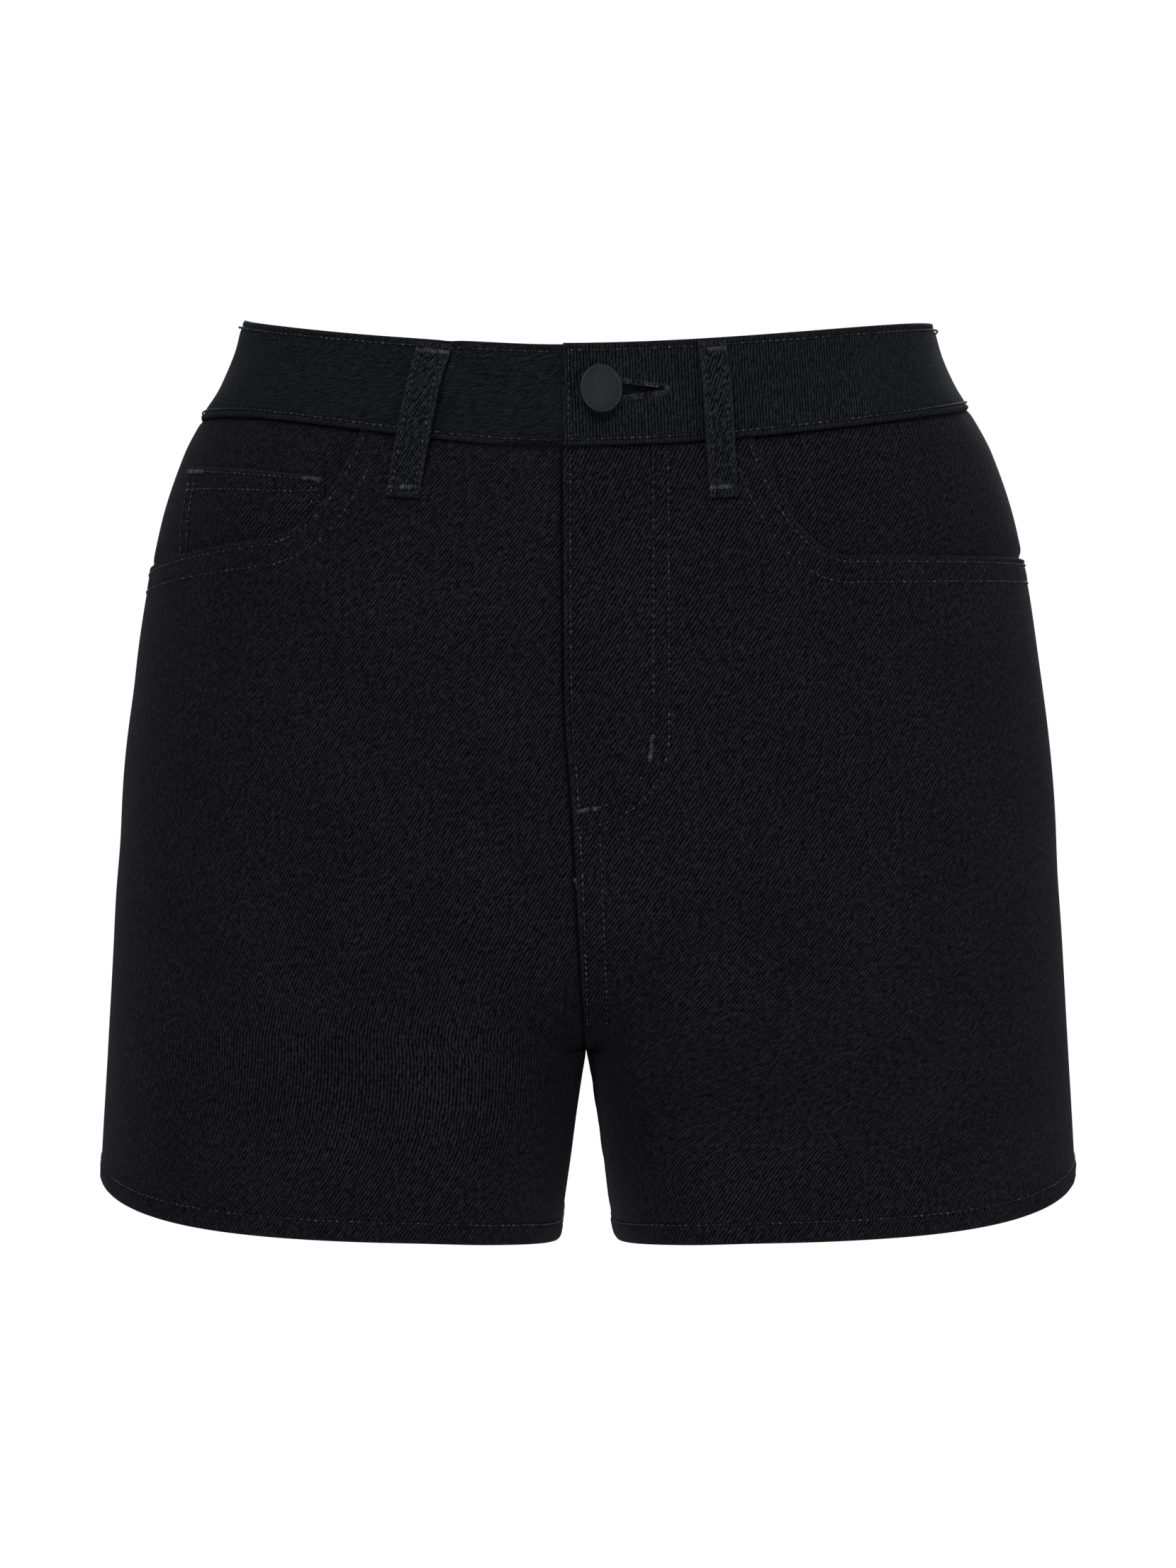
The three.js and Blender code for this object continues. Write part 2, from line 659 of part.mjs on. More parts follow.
// A belt loop: a strip held at its top and foot and arched between them.
function beltLoop({ side, face, top, foot, width }) {
  const rows = 12;
  const grid = (lift) => {
    const lines = [];
    for (let i = 0; i <= rows; i += 1) {
      const share = i / rows;
      const centre = lerp(top, foot, share);
      const line = [];
      for (const across of [-0.5, -0.17, 0.17, 0.5]) {
        const x = centre + across * width;
        const flip = x < 0 ? -side : side;
        const edge = placeAt(flip, face, Math.abs(x), WAIST_SEAM[face]).round;
        const topZ = rowHeight(flip, edge, -1) - 0.4;
        const seamZ = rowHeight(flip, edge, 0);
        const z = topZ - LOOP.length * share;
        const onBand = smooth(seamZ - 3, seamZ + 3, z);
        const arch = LOOP.arch * Math.sin(Math.PI * clamp(share * 1.12 - 0.04, 0, 1)) ** 0.6;
        line.push(over(flip, face, Math.abs(x), z, SEAM + BAND_OUT * onBand + arch + lift));
      }
      lines.push(line);
    }
    return lines;
  };
  return wall(grid(LOOP.wall), grid(0));
}

// The button: a domed cap with a rim, tilted on a post that stands on the underlap.
function button() {
  const { radius, thick, post, tilt } = BUTTON;
  const profile = [
    [0, -thick / 2],
    [radius * 0.9, -thick / 2],
    [radius, -thick * 0.2],
    [radius, thick * 0.25],
    [radius * 0.94, thick / 2],
    [radius * 0.82, thick * 0.36],
    [radius * 0.7, thick * 0.3],
    [0, thick * 0.42],
  ].map(([r, h]) => new THREE.Vector2(r, h));
  const cap = new THREE.LatheGeometry(profile, 36);
  cap.rotateX(Math.PI);
  cap.rotateZ(THREE.MathUtils.degToRad(tilt));
  const face = over(1, 'front', BUTTON.x, BUTTON.z, BAND_OUT);
  const centreY = face.y - BUTTON.stand;
  cap.translate(BUTTON.x, centreY, BUTTON.z);
  const seat = over(1, 'front', BUTTON.x, BUTTON.z, BAND_OUT - BAND_WALL);
  const length = seat.y - SEAM / 2 - centreY;
  const stem = new THREE.CylinderGeometry(post, post, length, 20);
  stem.translate(BUTTON.x, centreY + length / 2, BUTTON.z);
  return toGeometry(toSolid(cap).add(toSolid(stem)));
}

// The tack's flat head on the inner face of the underlap.
function buttonTack() {
  const inside = over(1, 'front', BUTTON.x, BUTTON.z, BAND_OUT - 2 * BAND_WALL - 2 * SEAM);
  const profile = [
    [0, 0],
    [TACK.radius, 0],
    [TACK.radius, TACK.thick * 0.5],
    [TACK.radius * 0.7, TACK.thick],
    [0, TACK.thick],
  ].map(([r, h]) => new THREE.Vector2(r, h));
  const head = new THREE.LatheGeometry(profile, 24);
  head.translate(BUTTON.x, inside.y + SEAM, BUTTON.z);
  return toGeometry(toSolid(head));
}

const DENIM = { color: 0x151519, roughness: 0.88, metalness: 0 };
const METAL = { color: 0x34363b, roughness: 0.42, metalness: 0.85 };

const group = new THREE.Group();

function add(name, geometry, finish = DENIM) {
  const mesh = new THREE.Mesh(geometry, new THREE.MeshStandardMaterial(finish));
  mesh.name = name;
  group.add(mesh);
}

for (const [flank, side] of [['left', 1], ['right', -1]]) {
  add(`front_${flank}`, frontPanel(side));
  add(`pocket_facing_${flank}`, facing(side));
  add(`back_${flank}`, backPanel(side));
  add(`yoke_${flank}`, yoke(side));
  add(`back_pocket_${flank}`, backPocket(side));
}
add('coin_pocket', coinPocket());
add('fly_shield', flyShield());
add('waistband', waistband());
for (const loop of LOOPS) add(loop.name, beltLoop(loop));
add('button', button(), METAL);
add('button_tack', buttonTack(), METAL);

export default group;
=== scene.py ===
# Black denim shorts with a high waist and a five-pocket cut, filled out with no wearer.
# Sizes here are millimetres, and a mesh is made in metres. +Z is up, the front faces -Y,
# and +X is the wearer's left. The origin is the middle of the waist.
import math

import bpy
import numpy as np
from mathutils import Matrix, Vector


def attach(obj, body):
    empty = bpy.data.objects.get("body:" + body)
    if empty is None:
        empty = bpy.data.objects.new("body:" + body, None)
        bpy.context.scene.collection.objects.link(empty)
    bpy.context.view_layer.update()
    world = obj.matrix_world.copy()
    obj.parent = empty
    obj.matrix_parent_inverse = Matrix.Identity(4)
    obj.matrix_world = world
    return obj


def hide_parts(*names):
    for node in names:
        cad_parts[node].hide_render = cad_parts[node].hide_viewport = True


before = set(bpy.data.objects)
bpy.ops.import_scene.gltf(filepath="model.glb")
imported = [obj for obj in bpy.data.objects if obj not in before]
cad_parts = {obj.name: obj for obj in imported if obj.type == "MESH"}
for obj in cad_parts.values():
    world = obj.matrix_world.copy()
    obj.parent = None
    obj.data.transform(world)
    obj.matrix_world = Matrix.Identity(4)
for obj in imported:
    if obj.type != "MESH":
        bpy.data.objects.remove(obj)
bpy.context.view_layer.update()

MM = 0.001
PI = math.pi
chance = np.random.default_rng(7)


def table(names, *rows):
    """A table with named columns, one tuple a row."""
    return dict(zip(names.split(), np.array(rows, float).T))


# Cloth
CLOTH = 1.2
SEAM = 0.3
PATCH_LIFT = 0.6
HEM_DEPTH = 9.5

# Waistband
BAND_OUT = 0.6
BAND_WALL = 2.4
BAND_UNDERLAP = 39
BAND_SINK = {"from": 46, "to": 12}
BAND_END = -8.9

# Heights of the waistband's edges, the crotch and the hem
TOP = {"front": 5.3, "back": 24, "left": 21.7, "right": 24.1, "bend": {"left": 1.65, "right": 1.35}}
WAIST_SEAM = {"front": -30.6, "back": -12, "left": -9, "right": -14, "bend": {"left": 1.6, "right": 3}}
ROW_BEND = 1.7
CROTCH = {"z": -247, "side": -234, "front": 60, "back": 95}
HEM = {"z": -313, "slope": 2.5, "slope_width": 0.7, "rise": 15.5, "rise_width": 0.2, "drop": 5}

# The body, from the waist down: half width, and depth before and behind the side seams
BODY = table(
    "z half front back",
    (27, 129.2, 97, 96),
    (12, 131.9, 97.5, 98),
    (-1, 137.3, 98.5, 100),
    (-14, 145.2, 99.5, 102.5),
    (-27, 151.9, 100.5, 105),
    (-52, 160.2, 103, 110),
    (-90, 167.2, 106.5, 117),
    (-135, 173, 108, 121),
    (-175, 176.2, 108, 122),
    (-212, 178, 106.5, 119),
    (-250, 180.1, 104.5, 114),
    (-296, 182.7, 102, 110),
    (-335, 183.8, 101, 109),
)
# How far the fly edge lies from the centre line
FLY_LINE = table("z x", (30, -8.9), (-55, -8.8), (-125, -8.1), (-150, -6.3), (-175, -4.6), (-247, -1.6))
LEG = {"gap": 9.9, "gap_depth": 66, "power": 0.85, "top": 2.5, "hem": 2.2, "lean": 22, "flat": 0.95}
TURN = {"end": 1.7, "centre": 0.16}
INSEAM_Y = {"crotch": -25, "hem": -16}
SQUARE = 2.25
SIDE_ANGLE = math.radians(92.5)
SPAN = {"front": 172, "hip": 200, "back": 190, "rise": 220}
BAND_TALL = TOP["front"] - WAIST_SEAM["front"]

# Front pockets
MOUTH = {
    "left": {"start": 58.6, "bend": (15, 41.5), "land": (35, 42), "side_z": -66},
    "right": {"start": 80.7, "bend": (14.5, 34), "land": (31, 37), "side_z": -71},
}
FACING_UNDER = 12
FACING_DEPTH = {"left": 1.6, "right": 3.1, "seam": 1.6}
COIN = {"inner": (95, -40.3), "outer": (147, -33), "flare": 7, "under": 8, "wall": 0.9}
COIN_SIZE = (54.0, 38.0)

# Fly, back, belt loops and button
SHIELD = {"before": 14, "behind": 34, "bottom": -166, "depth": 1.6, "wall": 1.4}
YOKE = {"side": 27, "centre": 58}
POCKET = {"x": 82, "top": -92, "top_half": 54, "low_half": 50, "height": 118, "point": 15, "tilt": 5}
LOOP = {"wall": 1.8, "arch": 2.6, "length": 56}
LOOPS = (
    {"name": "belt_loop_front_left", "face": "front", "top": 43.5, "foot": 47.7, "width": 10},
    {"name": "belt_loop_front_right", "face": "front", "top": -54, "foot": -65.5, "width": 11.8},
    {"name": "belt_loop_side_left", "face": "back", "top": 104, "foot": 110, "width": 8.5},
    {"name": "belt_loop_side_right", "face": "back", "top": -104, "foot": -110, "width": 8.5},
    {"name": "belt_loop_back", "face": "back", "top": 0, "foot": 0, "width": 11},
)
BUTTON = {"x": 4.5, "z": -10.8, "radius": 8.5, "thick": 2.4, "stand": 5.6, "tilt": 30, "post": 2.3}
BUTTONHOLE = {"eye": 3.1, "slit": 0.8, "end": 27.5}
TACK = {"radius": 4.8, "thick": 0.9}

# Sewing: stitch length and thread, and how far the rows lie from the edges
STITCH = {"pitch": 2.65, "length": 1.5, "width": 0.66, "rise": 0.36}
ROW_IN = 2.1
ROW_TWIN = 8.4
HEM_ROW = 7.3
FLY_ROW = 2.5
SEAT_ROWS = (2.3, 9.1)
SEWN_IN = 0.34
FLY_CURVE = {"x": -5, "z": -134, "inner": (28, 25.7), "outer": (33.4, 31.5)}

# Camera and lights, in metres: where each light is, where it shines, its size and its watts
CAMERA = {"lens": 97.6, "distance": 1.6, "z": -0.15}
FLOOR_Z = -0.76
LIGHTS = (
    ("key", (-0.35, -1.6, 1.0), (0, 0, -0.15), (0.6, 0.5), 36),
    ("fill", (0.8, -1.6, -0.55), (0, 0, -0.25), (1.2, 1.2), 18),
    ("edge_left", (-1.5, 0.1, 0.1), (0, 0, -0.15), (0.5, 1.4), 0.8),
    ("edge_right", (1.5, 0.1, 0.1), (0, 0, -0.15), (0.5, 1.4), 5),
    ("back", (0.2, 1.8, 0.8), (0, 0, -0.15), (1.6, 1.4), 36),
)

# Soft troughs and ridges: place round a half (0 front, 1 side seam, 2 back; negative on the
# wearer's right), height, length, width, depth (negative for a ridge) and slope in degrees
CREASES = table(
    "around z length width depth slope",
    # under the waistband and on it
    (-0.16, -5, 32, 4.5, 1.6, -28),
    (-0.19, -15, 26, 4, -0.7, -35),
    (-0.225, 6, 12, 3, 0.9, 80),
    (0.1, -40, 18, 3, 0.6, 75),
    (0.16, -44, 22, 3.5, 0.6, 68),
    (0.42, -42, 30, 6, 0.5, 35),
    (-0.2, -48, 24, 5, 0.4, -55),
    (-0.12, -56, 22, 4, 0.35, -70),
    # by the end of the fly
    (0.1, -146, 14, 2.8, 0.8, -28),
    (0.19, -156, 30, 6, 0.6, 30),
    (-0.09, -163, 36, 7, 0.6, -28),
    (0.33, -168, 58, 11, 0.7, 18),
    (-0.3, -176, 62, 12, 0.8, -20),
    # from the crotch outwards
    (0.22, -205, 70, 10, 0.9, 34),
    (-0.2, -208, 64, 9, 0.9, -38),
    (0.16, -228, 48, 8, 0.7, 50),
    (-0.14, -232, 44, 7, 0.7, -54),
    (0.45, -222, 80, 14, -0.8, 22),
    (-0.48, -226, 76, 13, -0.8, -24),
    # down the legs
    (0.62, -262, 70, 15, 0.9, 78),
    (-0.66, -258, 64, 14, 0.9, -80),
    (0.34, -284, 46, 12, -0.6, 84),
    (-0.36, -280, 50, 12, -0.6, -86),
    # across the hips to the side seams
    (0.8, -118, 60, 12, 0.7, 26),
    (-0.82, -126, 66, 13, 0.7, -24),
    (0.9, -180, 58, 15, 0.8, -30),
    (-0.92, -172, 62, 14, 0.8, 32),
    (1.12, -96, 52, 10, 0.8, -30),
    (-1.14, -104, 48, 10, 0.8, 28),
    (1.2, -232, 80, 15, 0.9, 62),
    (-1.18, -238, 74, 16, 0.9, -60),
    # the back: under the waistband, at the seat seam and below the seat
    (1.62, -36, 34, 6, 0.7, 66),
    (-1.66, -40, 30, 6, 0.6, -70),
    (1.8, -66, 44, 8, 0.7, -40),
    (-1.82, -70, 48, 8, 0.8, 38),
    (1.86, -150, 60, 9, 0.8, -58),
    (-1.85, -156, 56, 9, 0.8, 55),
    (1.8, -196, 70, 10, 1.1, -34),
    (-1.79, -200, 76, 11, 1.1, 36),
    (1.72, -226, 84, 12, 1.2, -24),
    (-1.7, -232, 78, 11, 1.1, 22),
    (1.52, -252, 96, 14, 1.0, -12),
    (-1.5, -256, 88, 13, 1.0, 14),
    (1.4, -284, 56, 13, 0.8, -70),
    (-1.43, -280, 60, 13, 0.8, 72),
    (1.34, -150, 60, 14, -0.7, 60),
    (-1.36, -144, 64, 14, -0.7, -62),
)


# The creases are drawn deeper than the table says before and behind, and softer at the sides
DEEPER = {"front": 1.7, "side": 0.8, "back": 1.8}


def lerp(a, b, t):
    return a + (b - a) * t


def smooth(low, high, x):
    t = np.clip((x - low) / (high - low), 0, 1)
    return t * t * (3 - 2 * t)


def bell(distance, width):
    """1 at no distance, falling off smoothly with a width."""
    return np.exp(-((distance / width) ** 2))


def read(source, column, z):
    """A value from a table by height, along a smooth curve through its rows."""
    heights, values = source["z"], source[column]
    last = len(heights) - 1
    z = np.asarray(z, float)
    i = np.clip(np.searchsorted(-heights, -z, side="left") - 1, 0, last - 1)

    def slope(a, b):
        return (values[b] - values[a]) / (heights[b] - heights[a])

    step = heights[i + 1] - heights[i]
    t = np.clip((z - heights[i]) / step, 0, 1)
    m0 = slope(np.maximum(i - 1, 0), i + 1) * step
    m1 = slope(i, np.minimum(i + 2, last)) * step
    start = (2 * t**3 - 3 * t**2 + 1) * values[i] + (t**3 - 2 * t**2 + t) * m0
    return start + (3 * t**2 - 2 * t**3) * values[i + 1] + (t**3 - t**2) * m1


def flank_of(side):
    return "left" if side > 0 else "right"


def leg_gap(z):
    below = np.maximum(CROTCH["z"] - z, 0) / LEG["gap_depth"]
    return LEG["gap"] * below ** LEG["power"]


def body_point(z, angle):
    """A point of the body's round section, at an angle from the front's centre."""
    depth = np.where(np.cos(angle) > 0, read(BODY, "front", z), read(BODY, "back", z))
    across = np.abs(np.sin(angle) / read(BODY, "half", z)) ** SQUARE
    r = (across + np.abs(np.cos(angle) / depth) ** SQUARE) ** (-1 / SQUARE)
    return r * np.sin(angle), -r * np.cos(angle)


def leg_point(z, angle):
    """A point of one leg's section, at an angle from the leg's front."""
    down = np.clip((CROTCH["z"] - z) / (CROTCH["z"] - HEM["z"]), 0, 1)
    square = lerp(LEG["top"], LEG["hem"], down)
    outer, inner = read(BODY, "half", z), leg_gap(z)
    inseam = lerp(INSEAM_Y["crotch"], INSEAM_Y["hem"], down)
    shear = inseam * (1 - np.sin(angle)) / 2
    forward = np.cos(angle) > 0
    reach = LEG["flat"] * np.where(forward, read(BODY, "front", z), read(BODY, "back", z))
    depth = np.where(forward, reach + inseam / 2, reach - inseam / 2)
    across = np.abs(2 * np.sin(angle) / (outer - inner)) ** square
    r = (across + np.abs(np.cos(angle) / depth) ** square) ** (-1 / square)
    middle = (outer + inner) / 2 - LEG["lean"] * np.cos(angle) ** 2
    return middle + r * np.sin(angle), shear - r * np.cos(angle)


# Angles that divide each section into equal lengths of cloth, for many heights
LEVELS = {"top": 32, "bottom": -336, "step": 2, "parts": 96, "fine": 288}
LEVEL_Z = np.arange(LEVELS["top"], LEVELS["bottom"] - 1, -LEVELS["step"], dtype=float)


def equal_angles(point_at, start, end):
    share = np.linspace(0, 1, LEVELS["fine"] + 1)
    angles = lerp(np.reshape(start, (-1, 1)), end, share) + 0 * LEVEL_Z[:, None]
    x, y = point_at(LEVEL_Z[:, None], angles)
    steps = np.hypot(np.diff(x), np.diff(y))
    lengths = np.concatenate([np.zeros((len(LEVEL_Z), 1)), np.cumsum(steps, 1)], 1)
    goals = np.linspace(0, 1, LEVELS["parts"] + 1)
    return np.array([np.interp(goals * run[-1], run, line) for run, line in zip(lengths, angles)])


def angle_tables(side):
    fly = np.arctan(side * read(FLY_LINE, "x", LEVEL_Z) / read(BODY, "front", LEVEL_Z))
    return {
        "body_front": equal_angles(body_point, fly, SIDE_ANGLE),
        "body_back": equal_angles(body_point, SIDE_ANGLE, PI),
        "leg_front": equal_angles(leg_point, -PI / 2, SIDE_ANGLE),
        "leg_back": equal_angles(leg_point, SIDE_ANGLE, 1.5 * PI),
    }


ANGLES = {side: angle_tables(side) for side in (1, -1)}


def angle_at(side, kind, share, z):
    rows = ANGLES[side][kind]
    level = np.clip((LEVELS["top"] - z) / LEVELS["step"], 0, len(rows) - 1.001)
    part = np.clip(share * LEVELS["parts"], 0, LEVELS["parts"] - 1e-6)
    i, j = level.astype(int), part.astype(int)
    upper = lerp(rows[i, j], rows[i, j + 1], part - j)
    lower = lerp(rows[i + 1, j], rows[i + 1, j + 1], part - j)
    return lerp(upper, lower, level - i)


def centre_seam(row, face):
    """The centre seam's height at a row, and how far the section has turned into the leg's."""
    height = CROTCH[face]
    straight = WAIST_SEAM[face] - CROTCH["z"] - height
    inwards = 1 if face == "front" else -1
    reach = read(BODY, face, CROTCH["z"] + height) + inwards * INSEAM_Y["crotch"]
    bend = straight / (straight + PI / 4 * (height + reach))
    angle = np.clip((row - bend) / (1 - bend), 0, 1) * PI / 2
    above = WAIST_SEAM[face] - straight * row / bend
    z = np.where(row <= bend, above, CROTCH["z"] + height * (1 - np.sin(angle)))
    return z, 1 - np.cos(angle), smooth(bend, TURN["end"], row)


def edge_height(edge, side, around):
    front = around < 1
    bend = np.where(front, edge["bend"][flank_of(side)], ROW_BEND)
    centring = np.abs(np.cos(around * PI / 2)) ** bend
    return lerp(edge[flank_of(side)], np.where(front, edge["front"], edge["back"]), centring)


def hem_height(around):
    away = np.abs(around - 1)
    slope = HEM["slope"] * np.maximum(1 - away / HEM["slope_width"], 0)
    rise = HEM["rise"] * np.exp(-((away / HEM["rise_width"]) ** 1.5))
    return HEM["z"] + slope + rise - HEM["drop"] * smooth(0.6, 1, away)


def row_height(side, around, row):
    """Rows run from -1 at the waistband's top over 0 at its seam and 1 at the crotch to 2."""
    around, row = np.broadcast_arrays(np.asarray(around, float), np.asarray(row, float))
    seam_z = edge_height(WAIST_SEAM, side, around)
    band_z = lerp(seam_z, edge_height(TOP, side, around), -np.minimum(row, 0))
    front = around < 1
    down = np.clip(row, 0, 1)
    centring = np.abs(np.cos(around * PI / 2)) ** ROW_BEND
    at_side = WAIST_SEAM[flank_of(side)]
    centre = np.where(front, centre_seam(down, "front")[0], centre_seam(down, "back")[0])
    straight = lerp(lerp(at_side, CROTCH["side"], down), centre, centring)
    at_seam = lerp(at_side, np.where(front, WAIST_SEAM["front"], WAIST_SEAM["back"]), centring)
    body_z = straight + (seam_z - at_seam) * (1 - smooth(0, 0.5, down))
    leg_z = lerp(body_z, hem_height(around), row - 1)
    return np.where(row <= 0, band_z, np.where(row <= 1, body_z, leg_z))


def leg_share(around, row):
    def share_of(face, from_centre):
        _, hard, soft = centre_seam(row, face)
        return lerp(soft, hard, bell(from_centre, TURN["centre"]))

    share = lerp(share_of("front", around), share_of("back", 2 - around), smooth(0.6, 1.4, around))
    return np.where(row >= TURN["end"], 1, np.where(row <= 0, 0, share))


def surface(side, around, row):
    """The garment's outer face before its creases: one half, a place round it and a row."""
    around, row = np.broadcast_arrays(np.asarray(around, float), np.asarray(row, float))
    z = row_height(side, around, row)
    share = leg_share(around, row)
    front = around < 1
    part = np.where(front, around, around - 1)
    body = np.where(front, angle_at(side, "body_front", part, z), angle_at(side, "body_back", part, z))
    leg = np.where(front, angle_at(side, "leg_front", part, z), angle_at(side, "leg_back", part, z))
    body_x, body_y = body_point(z, body)
    leg_x, leg_y = leg_point(z, leg)
    return np.stack([side * lerp(body_x, leg_x, share), lerp(body_y, leg_y, share), z], -1)


def crease_height(side, around, z):
    """How far the creases move the cloth out, or in where it is negative."""
    quarter = 0.8 * (read(BODY, "half", z) + read(BODY, "front", z))
    height = np.zeros_like(z)
    for place, level, length, width, depth, slope in zip(*CREASES.values()):
        if place * side < 0:
            continue
        u = side * (around - abs(place)) * quarter
        v = z - level
        turn = math.radians(slope)
        along = u * math.cos(turn) + v * math.sin(turn)
        across = v * math.cos(turn) - u * math.sin(turn) - 0.004 * along**2
        wide = width * (1 + 0.35 * along / length)
        zone = "back" if abs(place) > 1.3 else "front" if abs(place) < 0.7 else "side"
        deep = depth * DEEPER[zone]
        height -= deep * np.exp(-((across / wide) ** 2) - (np.abs(along) / (0.55 * length)) ** 2.6)
    return height


def offset(side, around, row, out=0.0):
    """A point moved out from the creased face, or in where the distance is negative."""
    around, row = np.broadcast_arrays(np.asarray(around, float), np.asarray(row, float))
    step = 0.004
    near = np.clip(around, step, 2 - step)
    along = surface(side, near + step, row) - surface(side, near - step, row)
    down = surface(side, around, row + step) - surface(side, around, row - step)
    normal = side * np.cross(down, along)
    normal /= np.linalg.norm(normal, axis=-1, keepdims=True)
    points = surface(side, around, row)
    rise = out + crease_height(side, around, points[..., 2])
    moved = points + normal * rise[..., None]
    # the two halves are sewn together at the fly line and the seat seam, through their whole depth
    sewn_here = ((around == 0) | (around == 2)) & (row > 0) & (row <= 1)
    moved[..., 0] = np.where(sewn_here, points[..., 0], moved[..., 0])
    return moved


def row_at(side, around, z):
    high, low = np.full(np.shape(z), -1.2), np.full(np.shape(z), 2.0)
    for _ in range(24):
        middle = (high + low) / 2
        above = row_height(side, around, middle) > z
        high, low = np.where(above, middle, high), np.where(above, low, middle)
    return (high + low) / 2


# Where each place of the front and back lies as seen straight on, for many heights
SEEN_Z = np.arange(26.0, -330.0, -2.0)
SEEN_SHARE = np.linspace(0, 1, 241)


def seen_table(side, face):
    around = SEEN_SHARE if face == "front" else 2 - SEEN_SHARE
    around, z = np.meshgrid(around, SEEN_Z)
    return surface(side, around, row_at(side, around, z))[..., 0]


SEEN = {(side, face): seen_table(side, face) for side in (1, -1) for face in ("front", "back")}


def place(side, face, x, z):
    """The place round a half and the row under a point seen straight on."""
    seen = side * SEEN[side, face]
    level = np.clip((SEEN_Z[0] - z) / 2, 0, len(SEEN_Z) - 1.001)
    i = level.astype(int)
    line = lerp(seen[i], seen[i + 1], (level - i)[:, None])
    goal = side * x
    j = np.clip((line < goal[:, None]).sum(1) - 1, 0, len(SEEN_SHARE) - 2)
    each = np.arange(len(j))
    t = np.clip((goal - line[each, j]) / (line[each, j + 1] - line[each, j]), 0, 1)
    share = lerp(SEEN_SHARE[j], SEEN_SHARE[j + 1], t)
    around = share if face == "front" else 2 - share
    return around, row_at(side, around, z)


def over(face, x, z, out=0.0):
    """Points over the garment, by their place seen straight on from one face."""
    x, z, out = (np.array(a, float) for a in np.broadcast_arrays(x, z, out))
    points = np.empty(x.shape + (3,))
    middle = read(FLY_LINE, "x", z) if face == "front" else np.zeros_like(z)
    for side in (1, -1):
        mine = x > middle if side > 0 else x <= middle
        if mine.any():
            around, row = place(side, face, x[mine], z[mine])
            points[mine] = offset(side, around, row, out[mine])
    return points


# Rows of points


def spaced(low, high, step, fine_low=(), fine_high=()):
    """Even steps from low to high, with finer ones named at either end."""
    near = [low + d for d in (0, *fine_low)]
    far = [high - d for d in (*reversed(fine_high), 0)]
    count = max(int(round((far[0] - near[-1]) / step)), 1)
    middle = np.linspace(near[-1], far[0], count + 1)[1:-1]
    return np.array([*near, *middle, *far])


FINE = (0.35, 0.8, 1.4, 2.1, 3.0, 4.2, 5.6, 7.0, 8.4, 9.8)


def gaps(grid, axis):
    """How far each point of a grid lies from the grid's first line, along one axis."""
    steps = np.linalg.norm(np.diff(grid, axis=axis), axis=-1)
    first = np.zeros_like(steps.take([0], axis))
    return np.concatenate([first, np.cumsum(steps, axis)], axis)


def rim_distance(grid, free=(1, 1, 1, 1)):
    """About how far each point lies from a grid's free edges: first, last, top and bottom."""
    across, down = gaps(grid, 1), gaps(grid, 0)
    sides = (across, across[:, -1:] - across, down, down[-1:] - down)
    return np.min([side + (0 if edge else 1000) for side, edge in zip(sides, free)], 0)


def line_distance(points, line):
    """How far each point lies from a line, and where along the line."""
    start, step = line[:-1], np.diff(line, axis=0)
    length = np.maximum(np.linalg.norm(step, axis=1), 1e-6)
    ends = np.concatenate([[0], np.cumsum(length)])
    flat = points.reshape(-1, 3)
    distance, along = np.empty(len(flat)), np.empty(len(flat))
    for first in range(0, len(flat), 4000):
        part = slice(first, first + 4000)
        away = flat[part, None] - start
        t = np.clip(np.einsum("ijk,jk->ij", away, step) / length**2, 0, 1)
        apart = np.linalg.norm(away - t[..., None] * step, axis=2)
        best = apart.argmin(1)
        each = np.arange(len(best))
        distance[part] = apart[each, best]
        along[part] = ends[best] + t[each, best] * length[best]
    return distance.reshape(points.shape[:-1]), along.reshape(points.shape[:-1])


def wobble(along, seed, long=17.0, short=6.3):
    """Uneven waves along a seam, from -1 to 1."""
    return (
        0.5 * np.sin(2 * PI * along / long + seed)
        + 0.3 * np.sin(2 * PI * along / (long * 0.57) + 2.3 * seed)
        + 0.2 * np.sin(2 * PI * along / short + 4.1 * seed + np.sin(along / 23))
    )


def dip(points, line, depth=0.3, width=0.9, seed=1.0):
    """The groove that a row of stitches pulls into the cloth."""
    distance, along = line_distance(points, line)
    pull = 1 + 0.35 * wobble(along, seed)
    return -depth * pull * bell(distance, width)


def roll(points, line, height=0.45, reach=2.1, seed=2.0):
    """The rounded roll of cloth between an edge and the row of stitches beside it."""
    distance, along = line_distance(points, line)
    share = np.clip(distance / reach, 0, 1)
    return height * (1 + 0.4 * wobble(along, seed)) * np.clip(np.sin(PI * share), 0, 1) ** 0.8


def layer(points, line, width, height=0.35, seed=3.0):
    """The raised band where the cloth is doubled beside an edge."""
    distance, along = line_distance(points, line)
    return (height + 0.12 * wobble(along, seed)) * (1 - smooth(width - 0.8, width + 1.2, distance))


# Meshes


